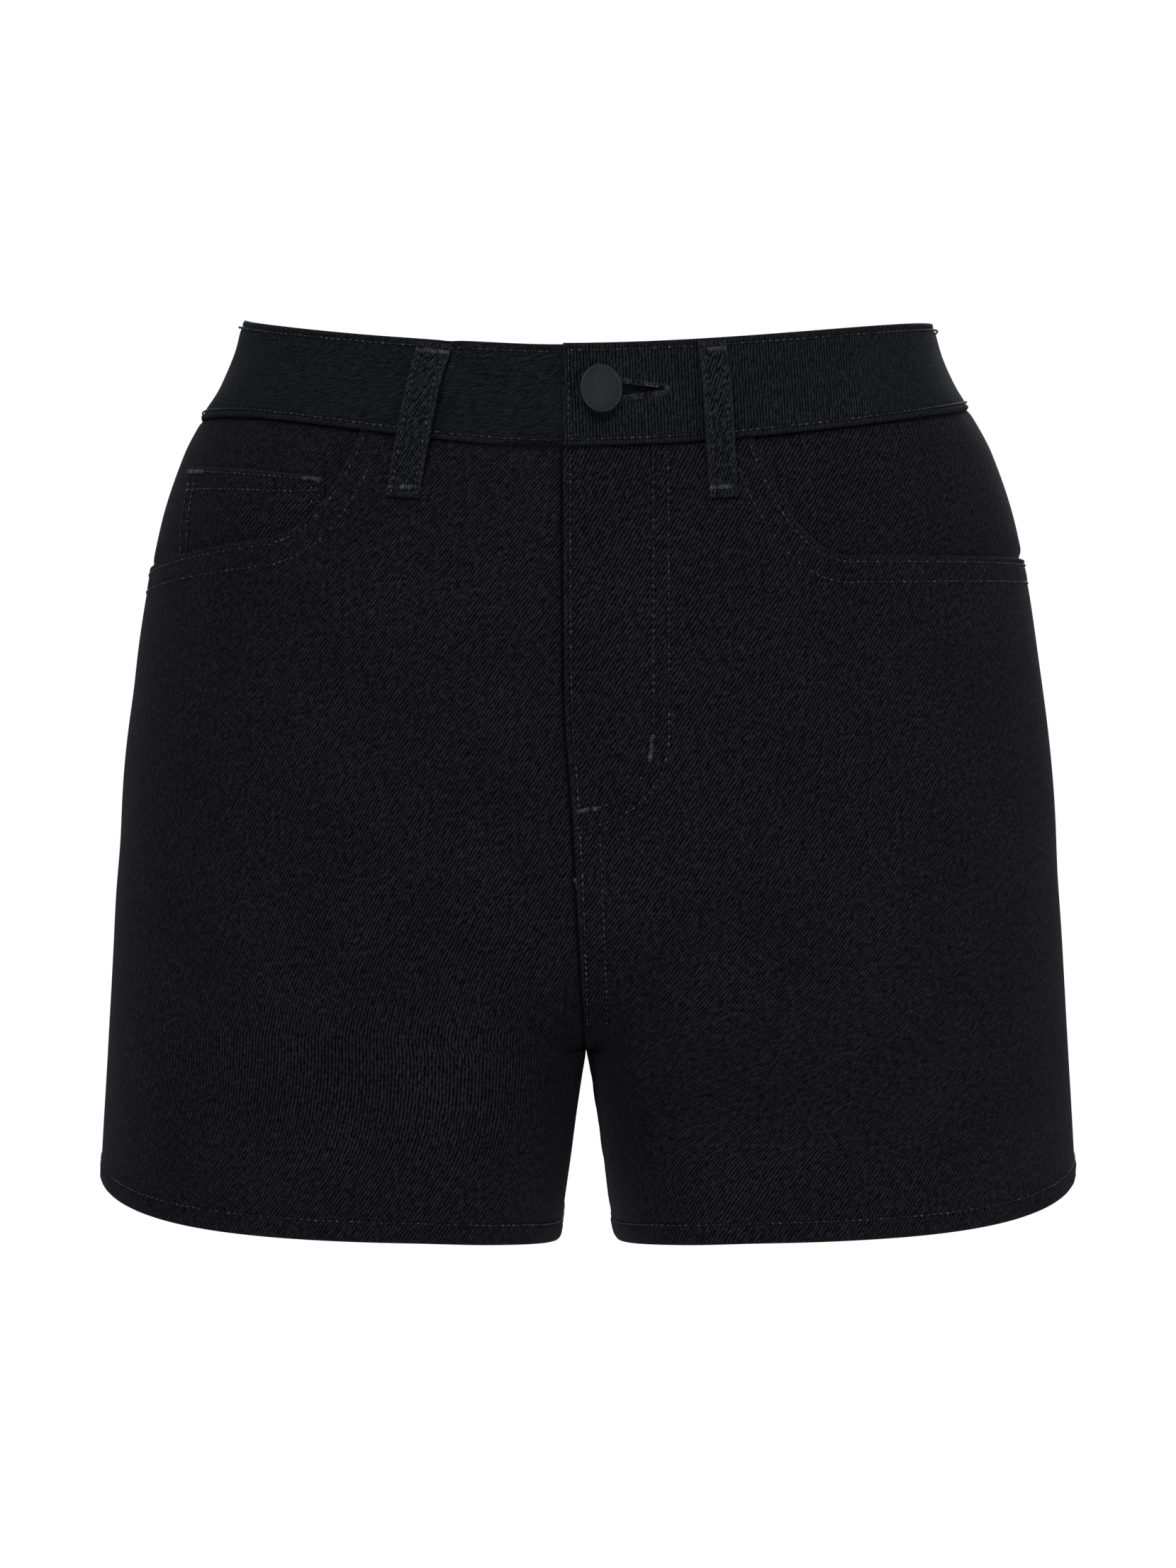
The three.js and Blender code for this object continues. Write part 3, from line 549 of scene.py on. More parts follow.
def wall(outer, inner, keep=None):
    """Vertices and faces of one closed wall between two grids. keep masks its cells."""
    rows, columns = outer.shape[:2]
    at = np.arange(rows * columns).reshape(rows, columns)
    cells = np.stack([at[:-1, :-1], at[1:, :-1], at[1:, 1:], at[:-1, 1:]], -1)
    cells = cells.reshape(-1, 4) if keep is None else cells[keep]
    under = rows * columns
    edges = np.stack([cells, np.roll(cells, -1, 1)], -1).reshape(-1, 2)
    key = edges.min(1) * under + edges.max(1)
    _, first, count = np.unique(key, return_index=True, return_counts=True)
    rim = edges[first[count == 1]]
    sides = np.column_stack([rim[:, 1], rim[:, 0], rim[:, 0] + under, rim[:, 1] + under])
    faces = np.concatenate([cells, cells[:, ::-1] + under, sides])
    return np.concatenate([outer.reshape(-1, 3), inner.reshape(-1, 3)]), faces


def facing_out(points, faces):
    a, b, c = points[faces[:, 0]], points[faces[:, 1]], points[faces[:, 2]]
    volume = np.einsum("ij,ij->", a, np.cross(b, c))
    if faces.shape[1] == 4:
        volume += np.einsum("ij,ij->", a, np.cross(c, points[faces[:, 3]]))
    return faces if volume > 0 else faces[:, ::-1]


def piece(name, points, faces, finish, cloth=None, wear=None, nodes=(), fold=None):
    """One shown object on the root body, from points in millimetres."""
    used, index = np.unique(np.concatenate([f.ravel() for f in faces]), return_inverse=True)
    mesh = bpy.data.meshes.new(name)
    lists, at = [], 0
    for part in faces:
        lists += index[at : at + part.size].reshape(part.shape).tolist()
        at += part.size
    mesh.from_pydata((points[used] * MM).tolist(), [], lists)
    mesh.shade_smooth()
    if cloth is not None:
        corners = np.empty(len(mesh.loops), np.int32)
        mesh.loops.foreach_get("vertex_index", corners)
        layer_uv = mesh.uv_layers.new(name="cloth")
        layer_uv.uv.foreach_set("vector", (cloth[used] * MM)[corners].astype(np.float32).ravel())
    # stored per point: wear on the cloth, the tone of each thread with painted shade on the needle-hole
    # dashes, and the painted seam shade
    for key, values in (("wear", wear), ("fold", fold)):
        if values is not None:
            stored = mesh.attributes.new(key, "FLOAT", "POINT")
            stored.data.foreach_set("value", np.clip(values[used], 0, 1).astype(np.float32))
    mesh.materials.append(finish)
    made = bpy.data.objects.new(name, mesh)
    bpy.context.scene.collection.objects.link(made)
    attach(made, "root")
    if nodes:
        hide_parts(*nodes)
    return made


def turned(u, v, turn):
    """Places on the flat cloth, with the twill turned by an angle in degrees."""
    a = np.radians(turn)
    return np.stack([u * np.cos(a) - v * np.sin(a), u * np.sin(a) + v * np.cos(a)], -1)


def cloth_map(grid, way, turn=0.0):
    """Places on the flat cloth of a small piece. way is -1 where its columns run backwards."""
    return turned(way * gaps(grid, 1), -gaps(grid, 0), turn)


MAP_STEP = 1 / 40


def flat_table(side, middle):
    """How far each place of a panel lies from the panel's middle, and its height."""
    steps = middle + np.arange(-0.5, 0.5 + MAP_STEP / 2, MAP_STEP)
    around, row = np.meshgrid(np.clip(steps, 0.002, 1.998), np.arange(-1, 2 + MAP_STEP / 2, MAP_STEP))
    grid = surface(side, around, row)
    across = gaps(grid, 1)
    return np.stack([side * (across - across[:, [round(0.5 / MAP_STEP)]]), grid[..., 2]], -1)


FLAT = {(side, middle): flat_table(side, middle) for side in (1, -1) for middle in (0.5, 1.5)}


def panel_map(side, around, row, turn=0.0):
    """Places on the flat cloth of a panel, by the place round the half and the row."""
    middle = 0.5 if around.max() <= 1 else 1.5
    values = FLAT[side, middle]
    i = np.clip((row + 1) / MAP_STEP, 0, values.shape[0] - 1.001)
    j = np.clip((around - middle + 0.5) / MAP_STEP, 0, values.shape[1] - 1.001)
    a, b = i.astype(int), j.astype(int)
    i, j = (i - a)[..., None], (j - b)[..., None]
    upper = lerp(values[a, b], values[a, b + 1], j)
    lower = lerp(values[a + 1, b], values[a + 1, b + 1], j)
    flat = lerp(upper, lower, i)
    return turned(flat[..., 0], flat[..., 1], turn)


def shell(name, place_out, wall_at, relief, cloth, finish="denim", keep=None, wear=0, edge=None, fold=0):
    """A cloth piece. place_out(out) gives its grid of points at a distance from the face."""
    rim = rim_distance(place_out(0 * relief)) if edge is None else edge
    half = wall_at / 2
    round_off = np.sqrt(1 - (1 - np.clip(rim / np.maximum(half, 0.5), 0, 1)) ** 2)
    half_here = half * (0.12 + 0.88 * round_off)
    outer = place_out(relief - half + half_here)
    inner = place_out(-half - half_here)
    points, faces = wall(outer, inner, keep)
    faces = facing_out(points, faces)
    flat = np.concatenate([cloth.reshape(-1, 2)] * 2)
    worn = bell(rim, 1.1) * 0.25 + wear
    worn = np.concatenate([worn.ravel(), worn.ravel() * 0.3])
    # the painted seam shade, the same on both faces of the wall
    deep = (fold + 0 * rim).ravel()
    deep = np.concatenate([deep, deep])
    return piece(name, points, [faces], FINISH[finish], flat, worn, [name], deep)


# Stitches


def capsule():
    """A short rounded thread from -1 to 1 along its first axis, arched over its middle."""
    sides = 6
    turn = np.arange(sides) * 2 * PI / sides
    points = [(-1, 0, -0.55)]
    for along, thick in ((-0.72, 0.8), (0, 1), (0.72, 0.8)):
        rise = -0.55 * along**2
        points += [(along, thick * math.cos(t), rise + thick * math.sin(t)) for t in turn]
    points.append((1, 0, -0.55))
    last = len(points) - 1
    quads, ends = [], []
    for k in range(sides):
        m = (k + 1) % sides
        ends.append((0, 1 + m, 1 + k))
        ends.append((last, last - sides + k, last - sides + m))
        for ring in (1, 1 + sides):
            quads.append((ring + k, ring + m, ring + sides + m, ring + sides + k))
    return np.array(points, float), np.array(quads), np.array(ends)


CAPSULE = capsule()
sewn = {}


def unit(v):
    return v / np.linalg.norm(v, axis=-1, keepdims=True)


def threads(name, centre, along, normal, length, width, rise, bright=(0.4, 1.0)):
    """Adds one short thread at each centre to the sewing of a piece."""
    across = unit(np.cross(normal, along))
    normal = unit(np.cross(along, across))
    template = CAPSULE[0]
    points = (
        centre[:, None]
        + along[:, None] * template[None, :, :1] * (np.reshape(length, (-1, 1, 1)) / 2)
        + across[:, None] * template[None, :, 1:2] * (width / 2)
        + normal[:, None] * template[None, :, 2:] * rise
    )
    sewn.setdefault(name, []).append((points, chance.uniform(*bright, len(points))))


def spread(points, pitch, ends=0.0):
    """Places at an even pitch along a line, as numbers that pick from its points."""
    run = gaps(points[:, None], 0)[:, 0]
    count = max(int(round((run[-1] - 2 * ends) / pitch)), 1)
    goal = ends + (np.arange(count) + 0.5) * (run[-1] - 2 * ends) / count
    return run, goal


def pick(values, run, goal):
    return np.stack([np.interp(goal, run, values[:, k]) for k in range(3)], -1)


def sew(name, line, pitch=STITCH["pitch"], length=STITCH["length"], ends=0.0):
    """A row of stitches along a line of points and normals."""
    points, normals = line
    run, goal = spread(points, pitch, ends)
    half = length * 0.45
    along = unit(pick(points, run, goal + half) - pick(points, run, goal - half))
    normal = unit(pick(normals, run, goal))
    across = np.cross(normal, along)
    along = unit(along + across * chance.normal(0, 0.035, (len(goal), 1)))
    centre = pick(points, run, goal) + across * chance.normal(0, 0.05, (len(goal), 1))
    size = length * chance.uniform(0.93, 1.06, len(goal))
    threads(name, centre + normal * 0.02, along, normal, size, STITCH["width"], STITCH["rise"])
    # painted shade: flat near-black dashes sit in the needle holes between the stitches, standing in for
    # the shade there
    between = (goal[1:] + goal[:-1]) / 2
    hole = pick(points, run, between) - normal[1:] * 0.02
    threads(name, hole, along[1:], normal[1:], pitch - length + 0.4, 1.0, 0.16, (0.0, 0.02))


def bartack(name, line, width=2.1):
    """Close threads across a short line, over two that run along it."""
    points, normals = line
    run, goal = spread(points, 0.5)
    along = unit(pick(points, run, goal + 0.2) - pick(points, run, goal - 0.2))
    normal = unit(pick(normals, run, goal))
    across = unit(np.cross(normal, along))
    slant = unit(across + along * 0.16 * (-1) ** np.arange(len(goal))[:, None])
    size = width * chance.uniform(0.9, 1.08, len(goal))
    threads(name, pick(points, run, goal) + normal * 0.18, slant, normal, size, 0.56, 0.3)


def finish_sewing():
    for name, groups in sewn.items():
        points = np.concatenate([group[0] for group in groups])
        count, each = points.shape[:2]
        bright = np.repeat(np.concatenate([group[1] for group in groups]), each)
        shift = (np.arange(count) * each)[:, None, None]
        faces = [(part[None] + shift).reshape(-1, part.shape[1]) for part in CAPSULE[1:]]
        # each thread's brightness goes in with the wear values: random tone on the stitches, painted shade
        # near zero on the needle-hole dashes
        piece("stitching_" + name, points.reshape(-1, 3), faces, FINISH["thread"], wear=bright)


def line_on(side, around, row, out=0.0):
    """A line of points on one half of the garment, with its normals."""
    points = offset(side, around, row, out)
    return points, offset(side, around, row, np.asarray(out) + 1.0) - points


def line_over(face, x, z, out=0.0):
    points = over(face, x, z, out)
    return points, over(face, x, z, np.asarray(out) + 1.0) - points


# Materials


def node(tree, kind, inputs=None, **settings):
    made = tree.nodes.new("ShaderNode" + kind)
    for key, value in settings.items():
        setattr(made, key, value)
    for key, value in (inputs or {}).items():
        if isinstance(value, bpy.types.NodeSocket):
            tree.links.new(value, made.inputs[key])
        else:
            made.inputs[key].default_value = value
    return made


def blank(name):
    material = bpy.data.materials.new(name)
    material.use_nodes = True
    tree = material.node_tree
    return material, tree, tree.nodes["Principled BSDF"]


def maths(tree, operation, a, b=0.0, c=0.0):
    return node(tree, "Math", {0: a, 1: b, 2: c}, operation=operation).outputs[0]


def noise(tree, at, size, **more):
    """Soft noise whose lumps are a size in millimetres."""
    inputs = {"Vector": at, "Scale": 1 / (size * MM)}
    inputs.update((key.capitalize(), value) for key, value in more.items())
    return node(tree, "TexNoise", inputs).outputs[0]


def drawn_out(tree, at, wide, tall, turn=0.0):
    """Coordinates for noise that is drawn out, by its sizes in millimetres."""
    if turn:
        at = node(tree, "Mapping", {"Vector": at, "Rotation": (0, 0, turn)}).outputs[0]
    scale = (1 / (wide * MM), 1 / (tall * MM), 1)
    return node(tree, "Mapping", {"Vector": at, "Scale": scale}).outputs[0]


def tones(tree, factor, low, high):
    """A colour between two, each given by its place on the factor and its own value."""
    made = node(tree, "ValToRGB", {0: factor})
    for stop, (position, colour) in zip(made.color_ramp.elements, (low, high)):
        stop.position = position
        stop.color = (*colour, 1)
    return made.outputs[0]


def from_noise(tree, value, low, high):
    """Noise, which lies between 0.3 and 0.7, brought to a range."""
    return node(tree, "MapRange", {0: value, 1: 0.3, 2: 0.7, 3: low, 4: high}).outputs[0]


def scaled(tree, colour, by):
    return node(tree, "VectorMath", {0: colour, "Scale": by}, operation="SCALE").outputs[0]


def stored(tree, name):
    """A value that the mesh holds for each point."""
    return node(tree, "Attribute", attribute_name=name, attribute_type="GEOMETRY").outputs["Fac"]


def bumped(tree, shader, height, strength, depth):
    relief = node(tree, "Bump", {"Height": height, "Strength": strength, "Distance": depth * MM})
    tree.links.new(relief.outputs[0], shader.inputs["Normal"])


# The twill: warp threads lie 0.35 mm apart and weft threads 0.51 mm, and each warp thread goes
# over three wefts and under one, a step on from its neighbour, so that the lines rise at 56°
WARP = 0.35
WEFT = 0.51
REPEAT = 4


def twill_height(tree, depth):
    """The weave's height from 0 to 1, and a broad mottling, on the flat cloth's own map."""
    flat = node(tree, "UVMap", uv_map="cloth").outputs[0]
    slub = noise(tree, drawn_out(tree, flat, 2.2, 26), 1 / MM, detail=2.0)
    speck = noise(tree, flat, 1.6, detail=3.0, roughness=0.75)
    broad = noise(tree, flat, 34, detail=3.0)
    # streaks that follow the lines of the twill
    streak = noise(tree, drawn_out(tree, flat, 3.4, 1.2, -math.atan2(WEFT, WARP)), 1 / MM, detail=2.0)
    place_on = node(tree, "SeparateXYZ", {0: flat})
    u = maths(tree, "MULTIPLY", place_on.outputs[0], 1 / (WARP * REPEAT * MM))
    v = maths(tree, "MULTIPLY", place_on.outputs[1], 1 / (WEFT * REPEAT * MM))
    phase = maths(tree, "SUBTRACT", v, u)
    drift = maths(tree, "MULTIPLY_ADD", slub, 0.9, maths(tree, "MULTIPLY", speck, 0.55))
    phase = maths(tree, "ADD", phase, drift)
    line = maths(tree, "SINE", maths(tree, "MULTIPLY", phase, 2 * PI))
    yarn = maths(tree, "SINE", maths(tree, "MULTIPLY", u, 2 * PI * REPEAT))
    height = maths(tree, "MULTIPLY_ADD", line, 0.42, 0.5)
    height = maths(tree, "MULTIPLY_ADD", yarn, 0.06, height)
    lumps = maths(tree, "MULTIPLY_ADD", speck, 2.5 * depth, -1.25 * depth)
    grain = maths(tree, "MULTIPLY_ADD", streak, 1.5 * depth, -0.75 * depth)
    height = maths(tree, "ADD", height, maths(tree, "ADD", lumps, grain))
    return height, broad, speck


def denim(name, low, high, contrast=0.5, bump=0.8, sheen=0.012):
    """Black twill: two near-black tones on the weave, lighter where seams are worn."""
    material, tree, shader = blank(name)
    height, broad, speck = twill_height(tree, contrast)
    bright = [1.7 * c for c in high]
    tone = tones(tree, maths(tree, "MULTIPLY", height, 0.5), (0.08, low), (0.58, bright))
    shade = scaled(tree, tone, from_noise(tree, broad, 0.86, 1.12))
    amount = maths(tree, "MULTIPLY", stored(tree, "wear"), maths(tree, "MULTIPLY_ADD", speck, 0.9, 0.1))
    faded = tuple(1.9 * c for c in high)
    colour = node(tree, "Mix", {0: amount, 6: shade, 7: (*faded, 1)}, data_type="RGBA")
    # painted shade: the colour is darkened in the seam crevices, under the waistband seam and beside the
    # fly edge, where shade falls
    painted_shade_factor = maths(tree, "MULTIPLY_ADD", stored(tree, "fold"), -0.92, 1.0)
    tree.links.new(scaled(tree, colour.outputs[2], painted_shade_factor), shader.inputs["Base Color"])
    tree.links.new(from_noise(tree, speck, 0.94, 0.78), shader.inputs["Roughness"])
    bumped(tree, shader, height, bump, 0.16)
    shader.inputs["Specular IOR Level"].default_value = 0.03
    shader.inputs["Sheen Weight"].default_value = sheen
    shader.inputs["Sheen Roughness"].default_value = 0.45
    shader.inputs["Sheen Tint"].default_value = (0.72, 0.76, 0.9, 1)
    return material


def thread_finish():
    """Black polyester thread, spun, a little brighter than the cloth."""
    material, tree, shader = blank("thread")
    place_on = node(tree, "TexCoord").outputs["Object"]
    spin = noise(tree, place_on, 0.5, detail=2.0)
    patch = noise(tree, place_on, 2.4, detail=1.0)
    both = maths(tree, "MULTIPLY_ADD", patch, 1.4, maths(tree, "MULTIPLY", spin, 0.7))
    low, high = (0.3, (0.0012, 0.0012, 0.0017)), (0.85, (0.041, 0.044, 0.053))
    tone = tones(tree, maths(tree, "SUBTRACT", both, 0.5), low, high)
    # the thread colour is scaled by each thread's stored brightness, near black on the painted needle-hole
    # shade
    tree.links.new(scaled(tree, tone, stored(tree, "wear")), shader.inputs["Base Color"])
    bumped(tree, shader, spin, 0.4, 0.1)
    shader.inputs["Roughness"].default_value = 0.45
    shader.inputs["Specular IOR Level"].default_value = 0.08
    return material


def metal_finish():
    """Dark grey metal with a matt coat, its tone varied in soft clouds over a fine grain."""
    material, tree, shader = blank("button_metal")
    place_on = node(tree, "TexCoord").outputs["Object"]
    grain = noise(tree, place_on, 0.35, detail=4.0)
    cloud = noise(tree, place_on, 5, detail=3.0)
    tone = tones(tree, cloud, (0.3, (0.0042, 0.0047, 0.0058)), (0.7, (0.007, 0.0078, 0.0094)))
    tree.links.new(tone, shader.inputs["Base Color"])
    tree.links.new(from_noise(tree, grain, 0.5, 0.66), shader.inputs["Roughness"])
    bumped(tree, shader, grain, 0.25, 0.05)
    shader.inputs["Specular IOR Level"].default_value = 0.14
    return material


FINISH = {
    "denim": denim("denim", (0.0002, 0.0002, 0.0003), (0.0053, 0.0049, 0.0073), 0.85),
    "band": denim("waistband_denim", (0.0003, 0.0004, 0.0006), (0.0052, 0.0059, 0.0081), 0.7),
    "loop": denim("loop_denim", (0.0002, 0.0003, 0.0004), (0.0064, 0.0073, 0.0096), 1.2, 1.0),
    "thread": thread_finish(),
    "metal": metal_finish(),
}


# Panels

# A panel's top is tucked under the waistband or the yoke
ROOM_DOWN = SEAM / SPAN["rise"]
TUCK = 1.2
TUCK_ROW = -TUCK / BAND_TALL


def mouth_curve(flank):
    """A front pocket mouth's places and rows, from its start to the side seam."""
    side = 1 if flank == "left" else -1
    size = MOUTH[flank]
    rounds = np.linspace(0.05, 0.9, 400)
    reach = side * surface(side, rounds, 0)[:, 0]
    start_z = row_height(side, np.interp(size["start"], reach, rounds), 0)
    t = np.linspace(0, 1, 49)
    x = size["start"] + 2 * t * (1 - t) * size["bend"][0] + t**2 * size["land"][0]
    z = start_z - 2 * t * (1 - t) * size["bend"][1] - t**2 * size["land"][1]
    around, row = place(side, "front", side * x, z)
    row[0] = 0
    share = np.linspace(0, 1, 40)[1:]
    on = lerp(around[-1], 1, share)
    on_row = row_at(side, on, lerp(z[-1], size["side_z"], smooth(-0.25, 1.1, share)))
    return np.concatenate([around, on]), np.concatenate([row, on_row])


MOUTHS = {flank: mouth_curve(flank) for flank in MOUTH}


def row_on_curve(flank, around):
    return np.interp(around, *MOUTHS[flank])


def mouth_line(flank):
    """The mouth's edge as points, from the waist seam to the side seam."""
    side = 1 if flank == "left" else -1
    around, row = MOUTHS[flank]
    return offset(side, np.minimum(around, 1), row)


def laid_flat(around, row):
    return np.stack([around * SPAN["hip"], row * SPAN["rise"], 0 * row], -1)


def mouth_row(flank, distance):
    """Places and rows of a line on the front, at a distance from its pocket mouth."""
    flat = laid_flat(*MOUTHS[flank])
    along = unit(np.gradient(flat, axis=0))
    around = (flat[:, 0] - along[:, 1] * distance) / SPAN["hip"]
    row = (flat[:, 1] + along[:, 0] * distance) / SPAN["rise"]
    keep = (row > 0.007) & (around < 1)
    return around[keep], row[keep]


def panel_rows(top, around):
    """Rows down a panel at each place round it: from its top to the crotch and to the hem."""
    leg = row_height(1, around, 1) - hem_height(around)
    first = np.maximum(top, 0) + np.array([0, *FINE])[:, None] / SPAN["rise"]
    first[0] = top
    count = 88
    body = lerp(first[-1], 1, np.linspace(0, 1, count)[1:, None])
    hem = np.array([13, 11.5, 10.2, 9.2, 8.4, 7.8, 7.3, 6.8, 6, 5, 4, 3, 2, 1.2, 0.6, 0.25, 0])
    low = 1 + np.linspace(0, 1, 26)[1:-1, None] * (1 - hem[0] / leg)
    return np.concatenate([first, body, low, 2 - hem[:, None] / leg])


def hem_relief(side, around, base, seed):
    """The turned-up edge: doubled cloth, pulled in by its row of stitches."""
    leg = row_height(side, around, 1) - hem_height(around)
    row = 2 - HEM_ROW / leg
    stitched = offset(side, around, row)
    edge = offset(side, around, np.full_like(around, 2.0))
    distance, along = line_distance(base, edge)
    skew = wobble(along + 0.9 * distance, seed, 15.0, 7.0)
    turned = 1 - smooth(HEM_ROW + 0.4, HEM_ROW + 2.2, distance)
    inside = np.sin(PI * np.clip(distance / HEM_ROW, 0, 1))
    relief = turned * (0.25 + inside * (0.2 + 0.3 * skew))
    return relief + dip(base, stitched, 0.35, 0.8, seed)


def waist_relief(side, around, base, seed):
    """Small gathers where the cloth is sewn to the waistband."""
    distance, along = line_distance(base, offset(side, around, 0 * around))
    uneven = 0.18 + 0.26 * wobble(along, seed, 19, 8)
    tight = 1.1 * (1 - 0.8 * bell(around - 1, 0.15))
    return -uneven * bell(distance, 5) - tight * bell(distance, 1.3)


def front(side):
    flank = flank_of(side)
    start = MOUTHS[flank][0][0]
    fine = [d / SPAN["front"] for d in FINE]
    inside = spaced(0, start, 2.0 / SPAN["front"], fine, fine[:1])
    around = np.concatenate([inside[:-1], np.minimum(MOUTHS[flank][0], 1)])
    top = np.where(around <= start, TUCK_ROW, row_on_curve(flank, around))
    rows = panel_rows(top, around)
    grid = np.broadcast_to(around, rows.shape)
    base = offset(side, grid, rows)
    mouth = mouth_line(flank)
    mouth_distance, _ = line_distance(base, mouth)
    rim = np.minimum(rim_distance(base, (1, 1, 0, 1)), mouth_distance)
    held = 1 - 0.7 * smooth(0.84, 1, grid)
    relief = (layer(base, mouth, ROW_TWIN + 1, 0.3) + roll(base, mouth, 0.3, ROW_IN)) * held
    relief += hem_relief(side, around, base, 3 + side)
    for distance in (ROW_IN, ROW_TWIN):
        relief += dip(base, offset(side, *mouth_row(flank, distance)), 0.32, 0.9, distance)
    edge = fly_edge(side)
    fly_distance, _ = line_distance(base, edge)
    seam_distance, _ = line_distance(base, offset(side, around, 0 * around))
    # painted shade: darker colour in the crevice under the waistband seam
    fold = bell(seam_distance, 1.1)
    if side > 0:
        relief += fly_rise(base)
        for k, path in enumerate(fly_paths()):
            relief += dip(base, path[0], SEWN_IN, 0.9, 5.0 + k)
            if k in (1, 2):
                away, along = line_distance(base, path[0])
                relief += 0.3 * wobble(along, 2.0 + k, 16, 7) * bell(away, 5)
        relief += roll(base, edge, 0.2, FLY_ROW)
    else:
        relief -= 0.75 * bell(fly_distance, 3.5) + 0.5 * bell(fly_distance, 1.2)
        # painted shade: a dark line left of the fly edge, fading out towards the crotch
        down = 1 - 0.8 * smooth(0.7, 0.95, rows)
        fold = np.maximum(fold, bell(fly_distance, 1.2) * down)
    relief += waist_relief(side, around, base, 6 + side)
    side_distance = side_seam_distance(base, side)
    relief -= 0.3 * bell(side_distance, 1.6)
    wall_at = thickness(side, grid, rows)
    wear = 0.1 * bell(mouth_distance, 2.5) + 0.1 * bell(side_distance, 3)
    relief -= 0.7 * smooth(0.86, 1, grid) * bell(mouth_distance, 9)
    turn = 0 if side > 0 else -4
    return panel("front", side, grid, rows, wall_at, relief, turn, wear=wear, edge=rim, fold=fold)


def panel(kind, side, grid, rows, wall_at, relief, turn=0, **more):
    """One panel of a half. Its grid runs round the half and down the rows."""
    cloth = panel_map(side, grid, rows, turn)
    name = kind + "_" + flank_of(side)
    return shell(name, lambda out: offset(side, grid, rows, out), wall_at, relief, cloth, **more)


def fly_edge(side):
    return offset(side, 0, np.linspace(ROOM_DOWN, 1.9, 260))


def fly_rise(points):
    """How far the doubled cloth stands up along the fly's edge."""
    distance, along = line_distance(points, fly_edge(1))
    return (0.85 + 0.12 * wobble(along, 1.7)) * bell(distance, 9)


def thickness(side, grid, rows):
    leg = row_height(side, grid, 1) - hem_height(grid)
    hem_from = 2 - (HEM_DEPTH + 1) / leg
    return CLOTH * (1 + smooth(hem_from, hem_from + 1 / leg, rows))


def side_seam_distance(base, side):
    seam = offset(side, 1.0, np.linspace(0.0, 2, 200))
    return line_distance(base, seam)[0]


def side_pull(base, side):
    """How far the side seam draws the cloth in."""
    return -0.3 * bell(side_seam_distance(base, side), 1.6)


def fly_paths():
    """The rows of stitches of the fly, on the wearer's left front."""
    edge_z = np.linspace(-31.8, -159, 60)
    edge = line_over("front", read(FLY_LINE, "x", edge_z) + FLY_ROW, edge_z)
    paths = [edge]
    for kind in ("inner", "outer"):
        wide, deep = FLY_CURVE[kind]
        down = np.linspace(-31.8, FLY_CURVE["z"], 40)
        turn = np.linspace(0, PI / 2, 26)[1:]
        x = np.concatenate([FLY_CURVE["x"] + wide + 0 * down, FLY_CURVE["x"] + wide * np.cos(turn)])
        z = np.concatenate([down, FLY_CURVE["z"] - deep * np.sin(turn)])
        paths.append(line_over("front", x, z))
    for distance in SEAT_ROWS:
        z = np.linspace(-167.5, -236, 34)
        x = read(FLY_LINE, "x", z) + distance
        paths.append(line_over("front", x, z))
    return paths


def facing_depth(flank, around, row):
    """How deep the facing lies. It rises again from the front's edge over it."""
    inside = smooth(0, 0.06, row) * (1 - smooth(0.87, 1, around))
    depth = lerp(FACING_DEPTH["seam"], FACING_DEPTH[flank], inside)
    away, _ = line_distance(laid_flat(around, row), laid_flat(*MOUTHS[flank]))
    away = np.where(row < row_on_curve(flank, around), away, 0)
    to_side = smooth(0.75, 1, around)
    least = lerp(FACING_DEPTH[flank] * 0.42, 0.1, to_side)
    return depth - (depth - least) * smooth(0.3, lerp(12, 2.5, to_side), away)


def facing(side):
    flank = flank_of(side)
    shift = FACING_UNDER / SPAN["front"]
    around = spaced(MOUTHS[flank][0][0] - shift, 1, 1.9 / SPAN["front"], (), ())
    bottom = row_on_curve(flank, around + shift) + FACING_UNDER / SPAN["rise"]
    share = np.linspace(0, 1, 60)[:, None]
    rows = lerp(TUCK_ROW, bottom, share)
    grid = np.broadcast_to(around, rows.shape)
    depth = facing_depth(flank, grid, rows)
    base = offset(side, grid, rows, -depth)
    relief = waist_relief(side, around, base, 4 + side)
    relief += side_pull(base, side)
    return shell(
        "pocket_facing_" + flank,
        lambda out: offset(side, grid, rows, out - depth),
        np.full_like(rows, CLOTH),
        relief,
        panel_map(side, grid, rows, 3),
        edge=rim_distance(base, (0, 1, 0, 0)),
        # painted shade: darker colour in the crevice under the waistband seam
        fold=bell(rows * SPAN["rise"], 1.1),
    )


def coin_grid(across, down):
    """Where the coin pocket lies: across from its inner to its outer edge, and down."""
    x = lerp(COIN["inner"][0], COIN["outer"][0], across)
    top_z = lerp(COIN["inner"][1], COIN["outer"][1], across)
    around, _ = place(-1, "front", -x.ravel(), top_z.ravel())
    edge = row_on_curve("right", around) + COIN["under"] / SPAN["rise"]
    foot_z = row_height(-1, around, edge).reshape(x.shape)
    z = lerp(top_z, foot_z, down)
    flare = COIN["flare"] * across * down
    around, row = place(-1, "front", -(x + flare).ravel(), z.ravel())
    return around.reshape(x.shape), row.reshape(x.shape)


def coin_line(across, down, out=0.0):
    around, row = coin_grid(*np.broadcast_arrays(across, down))
    level = SEAM + COIN["wall"] - facing_depth("right", around, row)
    return line_on(-1, around, row, level + out)


def coin_rows():
    """The coin pocket's rows of stitches: two along its top and two down each side."""
    wide, deep = COIN_SIZE
    run = np.linspace(0, 1, 30)
    rows = [coin_line(lerp(0.03, 0.97, run), 0 * run + d / deep) for d in (2, 8)]
    for d in (1.6, 4.1):
        rows.append(coin_line(0 * run + d / wide, lerp(0.03, 0.8, run)))
        rows.append(coin_line(0 * run + 1 - d / wide, lerp(0.03, 0.86, run)))
    return rows


